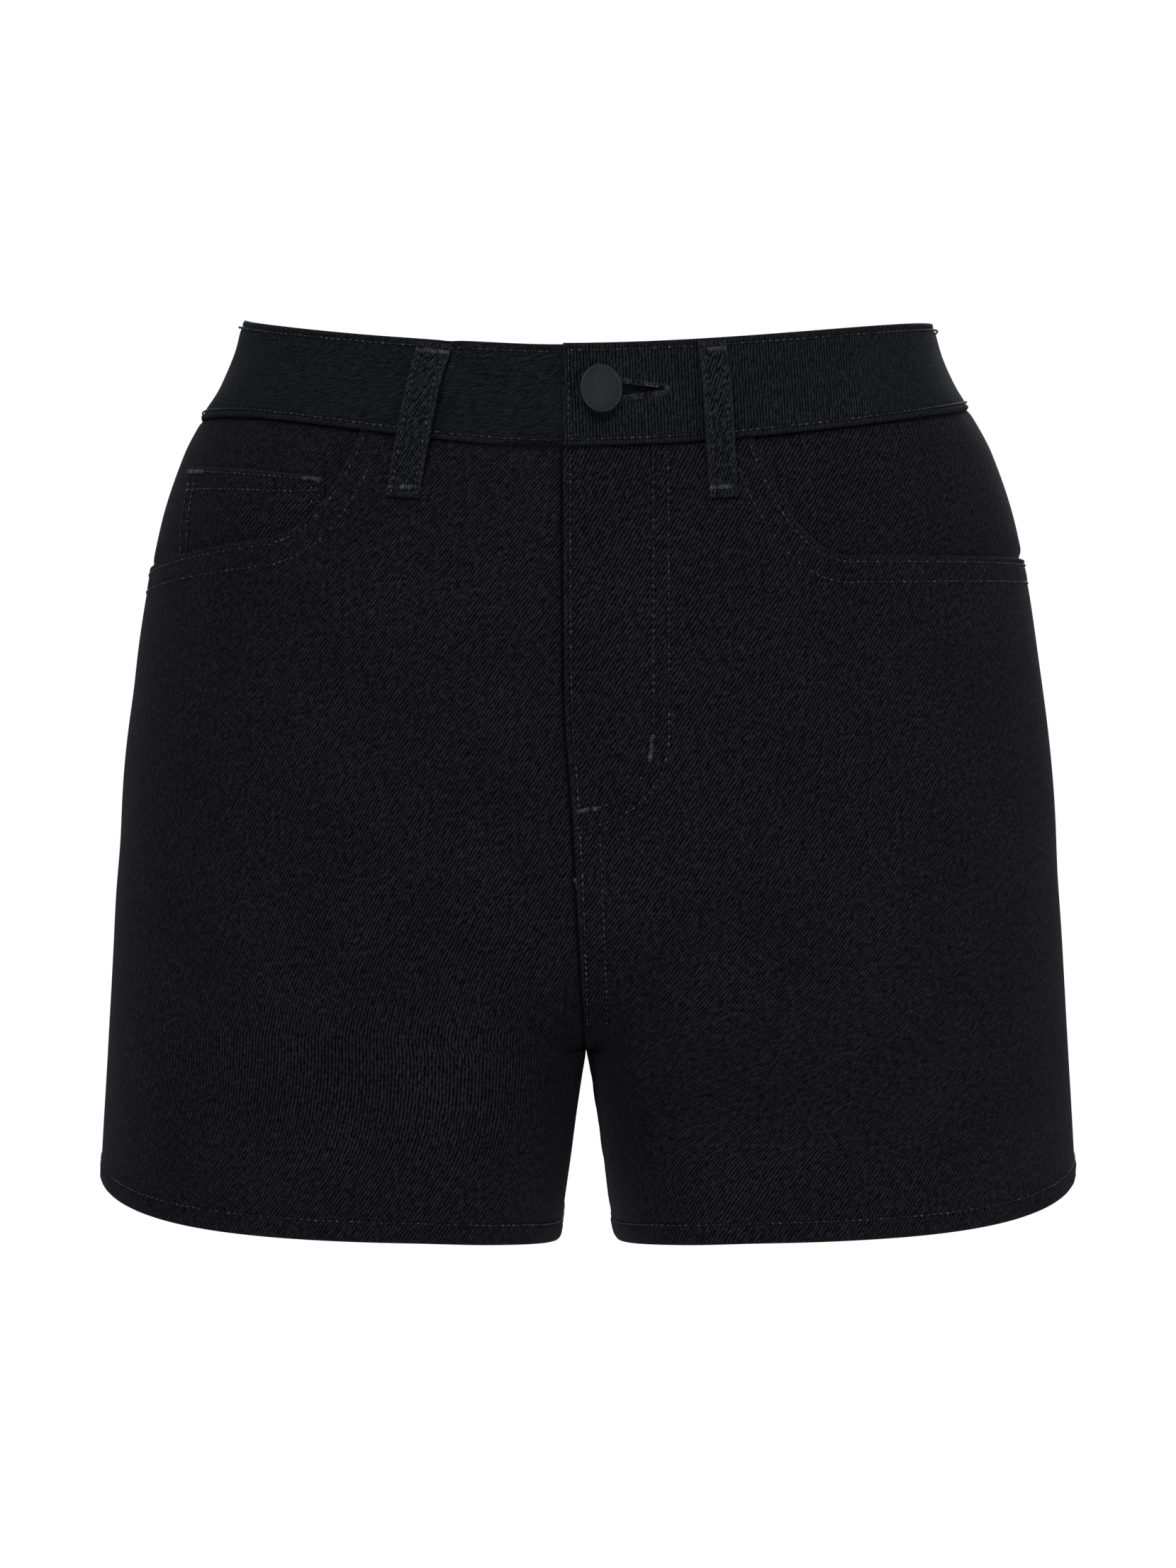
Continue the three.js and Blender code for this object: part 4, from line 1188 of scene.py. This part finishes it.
def coin_pocket():
    wide, deep = COIN_SIZE
    across = spaced(0, wide, 1.5, FINE[:6], FINE[:6]) / wide
    down = spaced(0, deep, 1.5, FINE[:6], (0.4, 1)) / deep
    across, down = np.meshgrid(across, down)
    around, row = coin_grid(across, down)
    depth = facing_depth("right", around, row) - SEAM - COIN["wall"]
    base = offset(-1, around, row, -depth)
    relief = 0.22 * np.sin(PI * across) * np.sin(PI * np.clip(down * 1.1, 0, 1))
    for line in coin_rows():
        relief += dip(base, line[0], 0.25, 0.8, 2.0)
    return shell(
        "coin_pocket",
        lambda out: offset(-1, around, row, out - depth),
        np.full_like(row, COIN["wall"]),
        relief,
        cloth_map(base, -1, 8),
        wear=0.5 * bell(down * deep, 1.6),
    )


def fly_shield():
    across = spaced(-SHIELD["before"], SHIELD["behind"], 2.0, FINE[:3], FINE[:3])
    shares = np.linspace(0, 1, 60)[:, None]
    grids = []
    for side in (-1, 1):
        mine = across < 0 if side < 0 else across >= 0
        around = np.abs(across[mine]) / SPAN["front"]
        top = row_height(side, around, ROOM_DOWN)
        z = lerp(top, SHIELD["bottom"], shares)
        grid = np.broadcast_to(around, z.shape)
        grids.append((side, grid, row_at(side, grid, z)))

    def place_out(out):
        parts, at = [], 0
        for side, grid, rows in grids:
            wide = grid.shape[1]
            parts.append(offset(side, grid, rows, out[:, at : at + wide] - SHIELD["depth"]))
            at += wide
        return np.concatenate(parts, 1)

    plain = np.zeros((len(shares), len(across)))
    return shell(
        "fly_shield", place_out, plain + SHIELD["wall"], plain, cloth_map(place_out(plain), 1)
    )


def yoke_row(side, around):
    drop = lerp(YOKE["side"], YOKE["centre"], around - 1)
    return row_at(side, around, row_height(side, around, 0) - drop)


def back_rounds():
    fine = [d / SPAN["back"] for d in FINE]
    return spaced(1, 2, 2.1 / SPAN["back"], fine[:4], fine)


def yoke(side):
    around = back_rounds()
    foot = yoke_row(side, around)
    steps = np.array([0.0, *FINE])
    low = foot - steps[::-1, None] / SPAN["rise"]
    share = np.linspace(0, 1, 20)[:-1, None]
    rows = np.concatenate([lerp(TUCK_ROW, low[0], share), low])
    grid = np.broadcast_to(around, rows.shape)
    base = offset(side, grid, rows)
    seam = offset(side, around, foot)
    relief = layer(base, seam, ROW_TWIN, 0.3, 4 + side) + roll(base, seam, 0.25, ROW_IN)
    relief *= smooth(1, 1.12, grid)
    for d in (ROW_IN, ROW_TWIN):
        relief += dip(base, offset(side, around, foot - d / SPAN["rise"]), SEWN_IN, 0.9, d)
    relief += waist_relief(side, around, base, 2 + side)
    relief += side_pull(base, side)
    relief += seat_relief(base, side)
    return panel(
        "yoke",
        side,
        grid,
        rows,
        np.full_like(rows, CLOTH),
        relief,
        -12 * side,
        wear=0.15 * bell(line_distance(base, seam)[0], 2),
        edge=rim_distance(base, (1, 1, 0, 1)),
        # painted shade: darker colour in the crevice under the waistband seam
        fold=bell(rows * SPAN["rise"], 1.1),
    )


def seat_line(row_from=0.0, row_to=1.0, distance=0.0):
    """A line beside the seat seam, on the wearer's left half."""
    row = np.linspace(row_from, row_to, 120)
    around = np.full_like(row, 2 - distance / SPAN["back"])
    return line_on(1, around, row)


def seat_relief(base, side):
    """The seat seam is felled: its left half lies over its right half."""
    seam = seat_line()[0]
    distance, along = line_distance(base, seam)
    if side < 0:
        return -0.6 * bell(distance, 3)
    over_it = 1 - smooth(SEAT_ROWS[1] - 0.6, SEAT_ROWS[1] + 1.4, distance)
    raised = (0.45 + 0.15 * wobble(along, 9)) * over_it
    for d in SEAT_ROWS:
        raised = raised + dip(base, seat_line(distance=d)[0], SEWN_IN, 0.9, d)
    return raised


def back(side):
    around = back_rounds()
    foot = yoke_row(side, around)
    rows = panel_rows(foot - TUCK / SPAN["rise"], around)
    grid = np.broadcast_to(around, rows.shape)
    base = offset(side, grid, rows)
    relief = hem_relief(side, around, base, 5 + side)
    distance, along = line_distance(base, offset(side, around, foot))
    relief -= (0.4 + 0.2 * wobble(along, side + 8)) * bell(distance, 2.6)
    relief += side_pull(base, side)
    relief += seat_relief(base, side)
    edge = rim_distance(base, (1, 1, 0, 1))
    return panel("back", side, grid, rows, thickness(side, grid, rows), relief, edge=edge)


def pocket_places(across, down):
    """A back pocket's places seen from behind. across runs from -1 to 1, down from 0 to 1."""
    half = lerp(POCKET["top_half"], POCKET["low_half"], down)
    shift = half * across
    drop = POCKET["height"] * down + POCKET["point"] * (1 - np.abs(across)) * down
    tilt = math.radians(POCKET["tilt"])
    x = POCKET["x"] + shift * math.cos(tilt) - 0.4 * drop * math.sin(tilt)
    return x, POCKET["top"] - drop + shift * math.sin(tilt)


def pocket_line(side, across, down, out=0.0):
    across, down = np.broadcast_arrays(np.asarray(across, float), np.asarray(down, float))
    x, z = pocket_places(across, down)
    return line_over("back", side * x, z, PATCH_LIFT + CLOTH + out)


def pocket_rows(side):
    """A back pocket's rows: two round its sides and point, and two along its top."""
    deep, half = POCKET["height"], POCKET["top_half"]
    rows = []
    for d in (1.8, 8.0):
        edge = 1 - d / half
        foot = 1 - d / deep
        run = np.linspace(0, 1, 40)
        across = np.concatenate([0 * run - edge, lerp(-edge, edge, run), 0 * run[::-1] + edge])
        down = np.concatenate([lerp(0.01, foot, run), 0 * run + foot, lerp(foot, 0.01, run)])
        rows.append(pocket_line(side, across, down))
    for d in (2.2, 12.5):
        run = np.linspace(-0.97, 0.97, 60)
        rows.append(pocket_line(side, run, d / deep))
    return rows


def back_pocket(side):
    flank = flank_of(side)
    half, deep = POCKET["top_half"], POCKET["height"]
    across = spaced(-half, half, 1.9, FINE, FINE) / half
    down = spaced(0, deep, 1.9, FINE, FINE) / deep
    across, down = np.meshgrid(across, down)
    x, z = pocket_places(across, down)
    base = over("back", side * x, z, PATCH_LIFT + CLOTH)
    rim = rim_distance(base)
    swell = np.clip(np.sin(PI * (across + 1) / 2), 0, 1) * np.clip(np.sin(PI * down), 0, 1)
    relief = 1.1 * swell**0.65
    relief += 0.3 * (1 - smooth(7.4, 9.4, rim)) + 0.3 * (1 - smooth(12, 14, down * deep))
    for k, line in enumerate(pocket_rows(side)):
        relief += dip(base, line[0], 0.32, 0.9, k + 1.0)
    return shell(
        "back_pocket_" + flank,
        lambda out: over("back", side * x, z, PATCH_LIFT + CLOTH + out),
        np.full_like(x, CLOTH),
        relief,
        cloth_map(base, side, 4),
        wear=0.35 * bell(rim, 2),
    )


# Waistband


def band_stations():
    """Places along the waistband: the half, the place round it and how far it is sunk."""
    fine = [d / SPAN["front"] for d in FINE]
    half = spaced(0, 2, 1.75 / SPAN["front"], fine, ())
    depth = BAND_WALL + SEAM
    back_way = half[:-1][::-1]
    x = np.abs(surface(-1, back_way, -0.5)[:, 0])
    sink = np.where(back_way < 1, depth * (1 - smooth(BAND_SINK["to"], BAND_SINK["from"], x)), 0)
    reach = place(1, "front", np.array([BAND_UNDERLAP + BAND_END]), np.array([WAIST_SEAM["front"]]))[0][0]
    lap = np.linspace(0, reach, 24)[1:]
    side = np.concatenate([np.ones(len(half)), -np.ones(len(back_way)), np.ones(len(lap))])
    return side, np.concatenate([half, back_way, lap]), np.concatenate([0 * half, sink, depth + 0 * lap])


BAND_SIDE, BAND_ROUND, BAND_SUNK = band_stations()


def band_points(row, out):
    """Points of the waistband at rows by stations, out from its own face."""
    row = np.broadcast_to(row, np.broadcast_shapes(np.shape(row), BAND_ROUND.shape))
    out = np.broadcast_to(out, row.shape)
    points = np.empty(row.shape + (3,))
    for side in (1, -1):
        mine = BAND_SIDE == side
        at = np.broadcast_to(BAND_ROUND[mine], row[..., mine].shape)
        points[..., mine, :] = offset(side, at, row[..., mine], out[..., mine] - BAND_SUNK[mine])
    return points


def band_line(d, from_top):
    """A line along the waistband at a distance from its top or its seam, with normals."""

    def edge_at(edge):
        left, right = (edge_height(edge, side, BAND_ROUND) for side in (1, -1))
        return np.where(BAND_SIDE > 0, left, right)

    share = d / (edge_at(TOP) - edge_at(WAIST_SEAM))
    row = -1 + share if from_top else -share
    points = band_points(row, BAND_OUT)
    return points, band_points(row, BAND_OUT + 1.0) - points


def lip_height(x):
    """How far each lip of the buttonhole lies from its middle: they meet at its end."""
    share = np.clip((BUTTONHOLE["end"] - x) / (BUTTONHOLE["end"] - 9), 0, 1)
    return 0.25 + 2.4 * share**0.8


def waistband():
    tall = BAND_TALL
    hole = (BUTTON["z"] - WAIST_SEAM["front"]) / tall
    eye, slit = BUTTONHOLE["eye"] / tall, BUTTONHOLE["slit"] / tall
    marks = [hole + s for s in (-eye, -0.75 * eye, -slit, slit, 0.75 * eye, eye)]
    ends = np.array([0, 0.2, 0.5, 0.9, 1.4, 2.0, 2.7, 3.5]) / tall
    below = np.linspace(ends[-1], marks[0], 10)
    above = np.linspace(marks[-1], 1 - ends[-1], 10)
    top = 1 + 0.7 / tall
    heights = np.concatenate([ends[:-1], below[:-1], marks[:-1], above, top - ends[:-1][::-1]])
    rows = -heights[::-1]
    full = (len(rows), len(BAND_ROUND))
    grid_row = np.broadcast_to(rows[:, None], full)
    base = band_points(grid_row, np.full(full, BAND_OUT))
    upper = (BAND_SIDE > 0) & (BAND_SUNK == 0) & (BAND_ROUND < 0.5)
    level = np.broadcast_to(-rows[:, None] * tall + WAIST_SEAM["front"] - BUTTON["z"], full)
    x = base[..., 0]
    # The post holds the buttonhole open: the cells in it are left out, and its lips moved apart
    mid_level, mid_x = (level[1:, 1:] + level[:-1, 1:]) / 2, (x[1:, 1:] + x[1:, :-1]) / 2
    in_slit = (np.abs(mid_level) < BUTTONHOLE["slit"]) & (mid_x > BUTTON["x"]) & (mid_x < BUTTONHOLE["end"])
    in_eye = np.hypot(mid_x - BUTTON["x"], mid_level) < BUTTONHOLE["eye"]
    keep = ~((in_slit | in_eye) & upper[1:])
    apart = lip_height(x) - BUTTONHOLE["slit"]
    near = bell(np.maximum(np.abs(level) - BUTTONHOLE["slit"], 0), 3.2)
    apart = np.sign(level) * apart * near * smooth(2, 9, x) * (x < BUTTONHOLE["end"] + 3) * upper
    corner = 2.0 * bell(BAND_ROUND - 1, 0.05) * smooth(-0.8, -1, grid_row)
    grid_row = grid_row - apart / tall + corner / tall
    relief = np.zeros(full)
    beside = bell(BAND_ROUND - 1, 0.13)
    for d, from_top in ((ROW_IN, True), (ROW_IN + 0.1, False)):
        distance, along = band_row_distance(base, d, from_top)
        relief -= SEWN_IN * (1 + 0.3 * wobble(along, d)) * bell(distance, 0.85) * (1 - 0.8 * beside)
    from_seam, along = band_row_distance(base, 0.0, False)
    from_top, _ = band_row_distance(base, 0.0, True)
    for away, seed in ((from_seam, 3.0), (from_top, 7.0)):
        inside = np.sin(PI * np.clip(away / ROW_IN, 0, 1)) * (1 - 0.9 * beside)
        relief += inside * (0.26 + 0.16 * wobble(along, seed, 14, 6))
    relief -= beside * (0.8 + 2.6 * np.exp(-((from_top / 3.0) ** 1.5)))
    relief += 0.25 * wobble(along, 11.0, 61.0, 27.0) * smooth(3, 9, from_seam) * smooth(2, 6, from_top)
    turn = np.where(BAND_SIDE > 0, -37.0, 28.0)
    return shell(
        "waistband",
        lambda out: band_points(grid_row, BAND_OUT + out),
        np.full(full, BAND_WALL),
        relief,
        turned(gaps(base, 1), -gaps(base, 0), turn),
        finish="band",
        keep=keep,
        wear=0.1 * bell(from_seam, 1.6),
    )


def band_row_distance(base, d, from_top):
    """How far each point of the waistband's grid is from a line along it, and where along."""
    down = gaps(base, 0)
    away = down if from_top else down[-1:] - down
    along = gaps(base, 1)
    return np.abs(away - d), along


# Belt loops


def loop_frame(loop, across, share):
    """A belt loop's places seen from its own face, and how far out it stands."""
    x = lerp(loop["top"], loop["foot"], share) + across * loop["width"]
    high, low = np.empty_like(x), np.empty_like(x)
    for side in (1, -1):
        mine = x > 0 if side > 0 else x <= 0
        if mine.any():
            around, _ = place(side, loop["face"], x[mine], np.full(mine.sum(), WAIST_SEAM[loop["face"]]))
            high[mine] = row_height(side, around, -1) - 0.4
            low[mine] = row_height(side, around, 0)
    z = high - LOOP["length"] * share
    arch = LOOP["arch"] * np.clip(np.sin(PI * np.clip(share * 1.12 - 0.04, 0, 1)), 0, 1) ** 0.6
    return x, z, SEAM + BAND_OUT * smooth(low - 3, low + 3, z) + arch


def loop_line(loop, across, share, out=0.0):
    across, share = np.broadcast_arrays(np.asarray(across, float), np.asarray(share, float))
    x, z, lift = loop_frame(loop, across, share)
    return line_over(loop["face"], x, z, lift + LOOP["wall"] + out)


def belt_loop(loop):
    wide, tall = loop["width"], LOOP["length"]
    fine = (0.3, 0.7, 1.2, 1.8, 2.4)
    across = spaced(0, wide, 0.9, fine, fine) / wide - 0.5
    share = spaced(0, tall, 1.1, (0.3, 0.7, 1.2), (0.3, 0.7, 1.2, 1.8, 2.6)) / tall
    across, share = np.meshgrid(across, share)
    x, z, lift = loop_frame(loop, across, share)
    from_edge = (0.5 - np.abs(across)) * wide
    run = share * tall
    relief = -0.3 * bell(from_edge - 2.0, 0.7)
    relief += 0.25 * np.sin(PI * np.clip(from_edge / 2, 0, 1)) + 0.1 * wobble(run, loop["top"] / 9)
    relief -= 0.45 * bell(run - 3.2, 1.3) + 0.5 * bell(run - tall + 3.6, 1.3)
    relief += 0.35 * (1 - smooth(1.2, 3.0, tall - run))
    base = over(loop["face"], x, z, lift)
    way = 1 if loop["face"] == "front" else -1
    return shell(
        loop["name"],
        lambda out: over(loop["face"], x, z, lift + LOOP["wall"] + out),
        np.full_like(x, LOOP["wall"]),
        relief,
        cloth_map(base, way, -11),
        finish="loop",
        wear=0.4 * bell(from_edge, 0.9),
    )


# Button


def lathe(profile, sides):
    """A closed solid turned round the Y axis from radius and height pairs, tip to tip."""
    turn = np.arange(sides) * 2 * PI / sides
    rings = [(r * np.cos(turn), np.full(sides, h), r * np.sin(turn)) for r, h in profile[1:-1]]
    points = np.concatenate([np.stack(ring, -1) for ring in rings])
    tips = np.array([[0, profile[0][1], 0], [0, profile[-1][1], 0]])
    points = np.concatenate([points, tips])
    count = len(rings)
    k = np.arange(sides)
    m = (k + 1) % sides
    quads = np.concatenate(
        [
            np.stack([i * sides + k, i * sides + m, (i + 1) * sides + m, (i + 1) * sides + k], -1)
            for i in range(count - 1)
        ]
    )
    first = np.stack([np.full(sides, len(points) - 2), m, k], -1)
    last_ring = (count - 1) * sides
    last = np.stack([np.full(sides, len(points) - 1), last_ring + k, last_ring + m], -1)
    return points, quads, np.concatenate([first, last])


def button():
    """The cap: a flat dished disc inside a rolled rim, with an even ring of small dots."""
    radius, thick = BUTTON["radius"], BUTTON["thick"]
    top = thick / 2
    arc = np.linspace(-0.5, 1, 12) * PI / 2
    rim = [(radius - 0.55 + 0.55 * math.cos(a), top * 0.35 + 0.62 * math.sin(a)) for a in arc]
    dish = [(radius * s, top * 0.42 - 0.1 * math.cos(s * PI)) for s in (0.88, 0.84, 0.7, 0.5, 0.3, 0.12)]
    profile = [(0, -top), (radius * 0.6, -top), (radius * 0.9, -top), *rim, *dish, (0, top * 0.33)]
    points, quads, ends = lathe(profile, 96)
    points[:, 1] *= -1
    groups, faces = [points], [[quads, ends]]
    dots = 22
    ring = radius * 0.83
    for k in range(dots):
        a = 2 * PI * k / dots
        dot = [(0, -0.1), (0.46, -0.1), (0.46, 0.2), (0.34, 0.34), (0.16, 0.42), (0, 0.43)]
        p, q, e = lathe(dot, 12)
        p[:, 1] *= -1
        p += (ring * math.cos(a), -top * 0.46, ring * math.sin(a))
        groups.append(p)
        faces.append([q, e])
    cap, flat = join(groups, faces)
    tilt = math.radians(BUTTON["tilt"])
    turn = np.array([[math.cos(tilt), -math.sin(tilt), 0], [math.sin(tilt), math.cos(tilt), 0], [0, 0, 1]])
    face_y = over("front", np.array([BUTTON["x"]]), np.array([BUTTON["z"]]), BAND_OUT)[0, 1]
    seat_y = face_y + BAND_WALL - SEAM / 2
    centre = np.array([BUTTON["x"], face_y - BUTTON["stand"], BUTTON["z"]])
    cap = cap @ turn.T + centre
    post = BUTTON["post"]
    stem_profile = [
        (0, 0.1),
        (post * 1.3, 0.1),
        (post * 1.3, 0.9),
        (post, 1.5),
        (post, seat_y - centre[1] - 1.2),
        (post * 1.25, seat_y - centre[1] - 0.3),
        (post * 1.25, seat_y - centre[1]),
        (0, seat_y - centre[1]),
    ]
    stem, stem_quads, stem_ends = lathe(stem_profile, 40)
    stem[:, 1] += math.tan(tilt) * stem[:, 0] * (1 - smooth(0.5, 2.2, stem[:, 1]))
    points, faces = join([cap, stem + centre], [flat, [stem_quads, stem_ends]])
    faces = [f[:, ::-1] for f in faces]
    return piece("button", points, faces, FINISH["metal"], nodes=["button"])


def join(groups, faces):
    """Several sets of points and faces as one."""
    shift, quads, ends = 0, [], []
    for points, (q, e) in zip(groups, faces):
        quads.append(q + shift)
        ends.append(e + shift)
        shift += len(points)
    return np.concatenate(groups), [np.concatenate(quads), np.concatenate(ends)]


def button_tack():
    behind = BAND_OUT - 2 * BAND_WALL - 2 * SEAM
    inside = over("front", np.array([BUTTON["x"]]), np.array([BUTTON["z"]]), behind)
    radius, thick = TACK["radius"], TACK["thick"]
    profile = [
        (0, 0),
        (radius * 0.9, 0),
        (radius, 0.15),
        (radius, thick * 0.45),
        (radius * 0.9, thick * 0.75),
        (radius * 0.6, thick * 0.95),
        (radius * 0.3, thick),
        (0, thick),
    ]
    points, quads, ends = lathe(profile, 48)
    points += (BUTTON["x"], inside[0, 1] + SEAM, BUTTON["z"])
    faces = [quads[:, ::-1], ends[:, ::-1]]
    return piece("button_tack", points, faces, FINISH["metal"], nodes=["button_tack"])


# All the sewing


def along_x(face, x, z, count=24, out=0.0):
    return line_over(face, np.linspace(*x, count), np.linspace(*z, count), out)


def sew_fronts():
    for side in (1, -1):
        flank = flank_of(side)
        name = "front_" + flank
        for distance, out in ((ROW_IN, 0.12), (ROW_TWIN, 0.0)):
            sew(name, line_on(side, *mouth_row(flank, distance), out))
        rounds = np.linspace(0.01, 0.998, 150)
        sew(name, hem_line(side, rounds))
    for line in fly_paths():
        points, normals = line
        sew("front_left", (points + normals * (0.2 + fly_rise(points))[:, None], normals))
    bartack("front_left", along_x("front", (22.9, 21.4), (-133, -142.5), out=0.35))
    bartack("front_left", along_x("front", (-4.4, 3.4), (-159.8, -158.6), out=1.1))
    bartack("front_left", along_x("front", (-4.6, -4.0), (-183, -187), out=1.0), 1.4)


def hem_line(side, rounds):
    leg = row_height(side, rounds, 1) - hem_height(rounds)
    return line_on(side, rounds, 2 - HEM_ROW / leg, 0.12)


def sew_backs():
    for side in (1, -1):
        flank = flank_of(side)
        sew("back_" + flank, hem_line(side, np.linspace(1.002, 1.99, 150)))
        around = np.linspace(1, 2, 120)
        foot = yoke_row(side, around)
        for d in (ROW_IN, ROW_TWIN):
            sew("yoke_" + flank, line_on(side, around, foot - d / SPAN["rise"], 0.22))
        for line in pocket_rows(side):
            sew("back_pocket_" + flank, (line[0] + line[1] * 0.35, line[1]))
        for end in (-1, 1):
            across = end * (1 - 1.6 / POCKET["top_half"])
            run = np.linspace(0, 9, 20) / POCKET["height"]
            bartack("back_pocket_" + flank, pocket_line(side, across, run, 0.35))
    for d in SEAT_ROWS:
        points, normals = seat_line(0.004, 0.985, d)
        sew("back_left", (points + normals * 0.3, normals))


def sew_coin():
    for line in coin_rows():
        sew("coin_pocket", (line[0] + line[1] * 0.12, line[1]), 2.4, 1.3)
    wide, deep = COIN_SIZE
    run = np.linspace(0, 7.0, 18) / wide
    bartack("coin_pocket", coin_line(run + 0.4 / wide, 2.0 / deep, 0.25))
    bartack("coin_pocket", coin_line(1 - run - 0.4 / wide, 2.0 / deep, 0.25))


def sew_band():
    for d, from_top in ((ROW_IN, True), (ROW_IN + 0.1, False)):
        points, normals = band_line(d, from_top)
        # none on the underlap, which the other end covers
        last = np.arange(len(points)) > len(points) / 2
        shown = ~(last & (points[:, 1] < 0) & (points[:, 0] > BAND_END - 1.5))
        points, normals = points[shown], normals[shown]
        sew("waistband", (points + normals * 0.05, normals), ends=2)
    z = WAIST_SEAM["front"] + np.linspace(2.1, 34, 40)
    sew("waistband", line_over("front", 0 * z + BAND_END + ROW_IN, z, BAND_OUT + 0.15))


def sew_buttonhole():
    """Close purl stitches round the buttonhole, and a bar at its end."""
    end = BUTTONHOLE["end"]
    for way in (1, -1):
        x = np.arange(6.5, end + 0.6, 0.8)
        z = BUTTON["z"] + way * lip_height(x)
        points, normals = line_over("front", x, z, BAND_OUT)
        along = unit(np.gradient(points, axis=0))
        outward = unit(np.cross(normals, along))
        outward *= np.sign(outward[:, 2:]) * way
        slant = unit(outward + along * chance.normal(0.12, 0.08, (len(x), 1)))
        size = 2.3 * chance.uniform(0.88, 1.1, len(x))
        threads("waistband", points + outward * 0.9 + normals * 0.1, slant, normals, size, 0.5, 0.42)
        # the purl along the edge itself
        thread_end = points + outward * 0.1 + normals * 0.35
        threads("waistband", thread_end, unit(along + normals * 0.3), normals, 0 * x + 0.75, 0.62, 0.36)
    low, high = BUTTON["z"] - 1.2, BUTTON["z"] + 1.2
    bartack("waistband", along_x("front", (end + 0.7, end + 1.0), (low, high), out=BAND_OUT))


def sew_loops():
    for loop in LOOPS:
        name, wide, tall = loop["name"], loop["width"], LOOP["length"]
        run = np.linspace(0.4, tall - 0.8, 60) / tall
        for end in (-1, 1):
            sew(name, loop_line(loop, end * (0.5 - 2.0 / wide), run, -0.1), 2.3, 1.3)
        across = np.linspace(-0.5, 0.5, 30) * (1 - 0.8 / wide)
        for at in (3.2, tall - 3.6):
            bartack(name, loop_line(loop, across, at / tall, -0.2), 2.0)


# Build

for each_side in (1, -1):
    front(each_side)
    facing(each_side)
    back(each_side)
    yoke(each_side)
    back_pocket(each_side)
coin_pocket()
fly_shield()
waistband()
for each_loop in LOOPS:
    belt_loop(each_loop)
button()
button_tack()
sew_fronts()
sew_backs()
sew_coin()
sew_band()
sew_buttonhole()
sew_loops()
finish_sewing()


# Floor, light and camera


def stage_floor():
    bpy.ops.mesh.primitive_circle_add(vertices=96, radius=1.35, fill_type="NGON", location=(0, 0, FLOOR_Z))
    floor = bpy.context.object
    floor.name = "floor"
    material, tree, shader = blank("floor")
    shader.inputs["Base Color"].default_value = (0.86, 0.86, 0.86, 1)
    shader.inputs["Roughness"].default_value = 0.9
    floor.data.materials.append(material)


def area_light(name, place_at, target, size, power):
    data = bpy.data.lights.new(name, "AREA")
    data.shape = "RECTANGLE"
    data.size, data.size_y = size
    data.energy = power
    lamp = bpy.data.objects.new(name, data)
    bpy.context.scene.collection.objects.link(lamp)
    lamp.location = place_at
    way = np.array(target) - np.array(place_at)
    lamp.rotation_mode = "QUATERNION"
    lamp.rotation_quaternion = Vector(way).to_track_quat("-Z", "Y")


def light_and_camera():
    scene = bpy.context.scene
    world = bpy.data.worlds.new("studio")
    scene.world = world
    world.use_nodes = True
    tree = world.node_tree
    tree.nodes.clear()
    seen = node(tree, "LightPath").outputs["Is Camera Ray"]
    soft = node(tree, "Background", {"Color": (0.95, 0.97, 1, 1), "Strength": 0.55})
    white = node(tree, "Background", {"Color": (1, 1, 1, 1), "Strength": 1.0})
    both = node(tree, "MixShader", {0: seen, 1: soft.outputs[0], 2: white.outputs[0]})
    node(tree, "OutputWorld", {0: both.outputs[0]})
    for light in LIGHTS:
        area_light(*light)
    camera_data = bpy.data.cameras.new("camera")
    camera_data.sensor_width = 36
    camera_data.lens = CAMERA["lens"]
    camera = bpy.data.objects.new("camera", camera_data)
    scene.collection.objects.link(camera)
    camera.location = (0, -CAMERA["distance"], CAMERA["z"])
    camera.rotation_euler = (PI / 2, 0, 0)
    scene.camera = camera
    scene.view_settings.view_transform = "Standard"
    scene.view_settings.look = "None"


stage_floor()
light_and_camera()
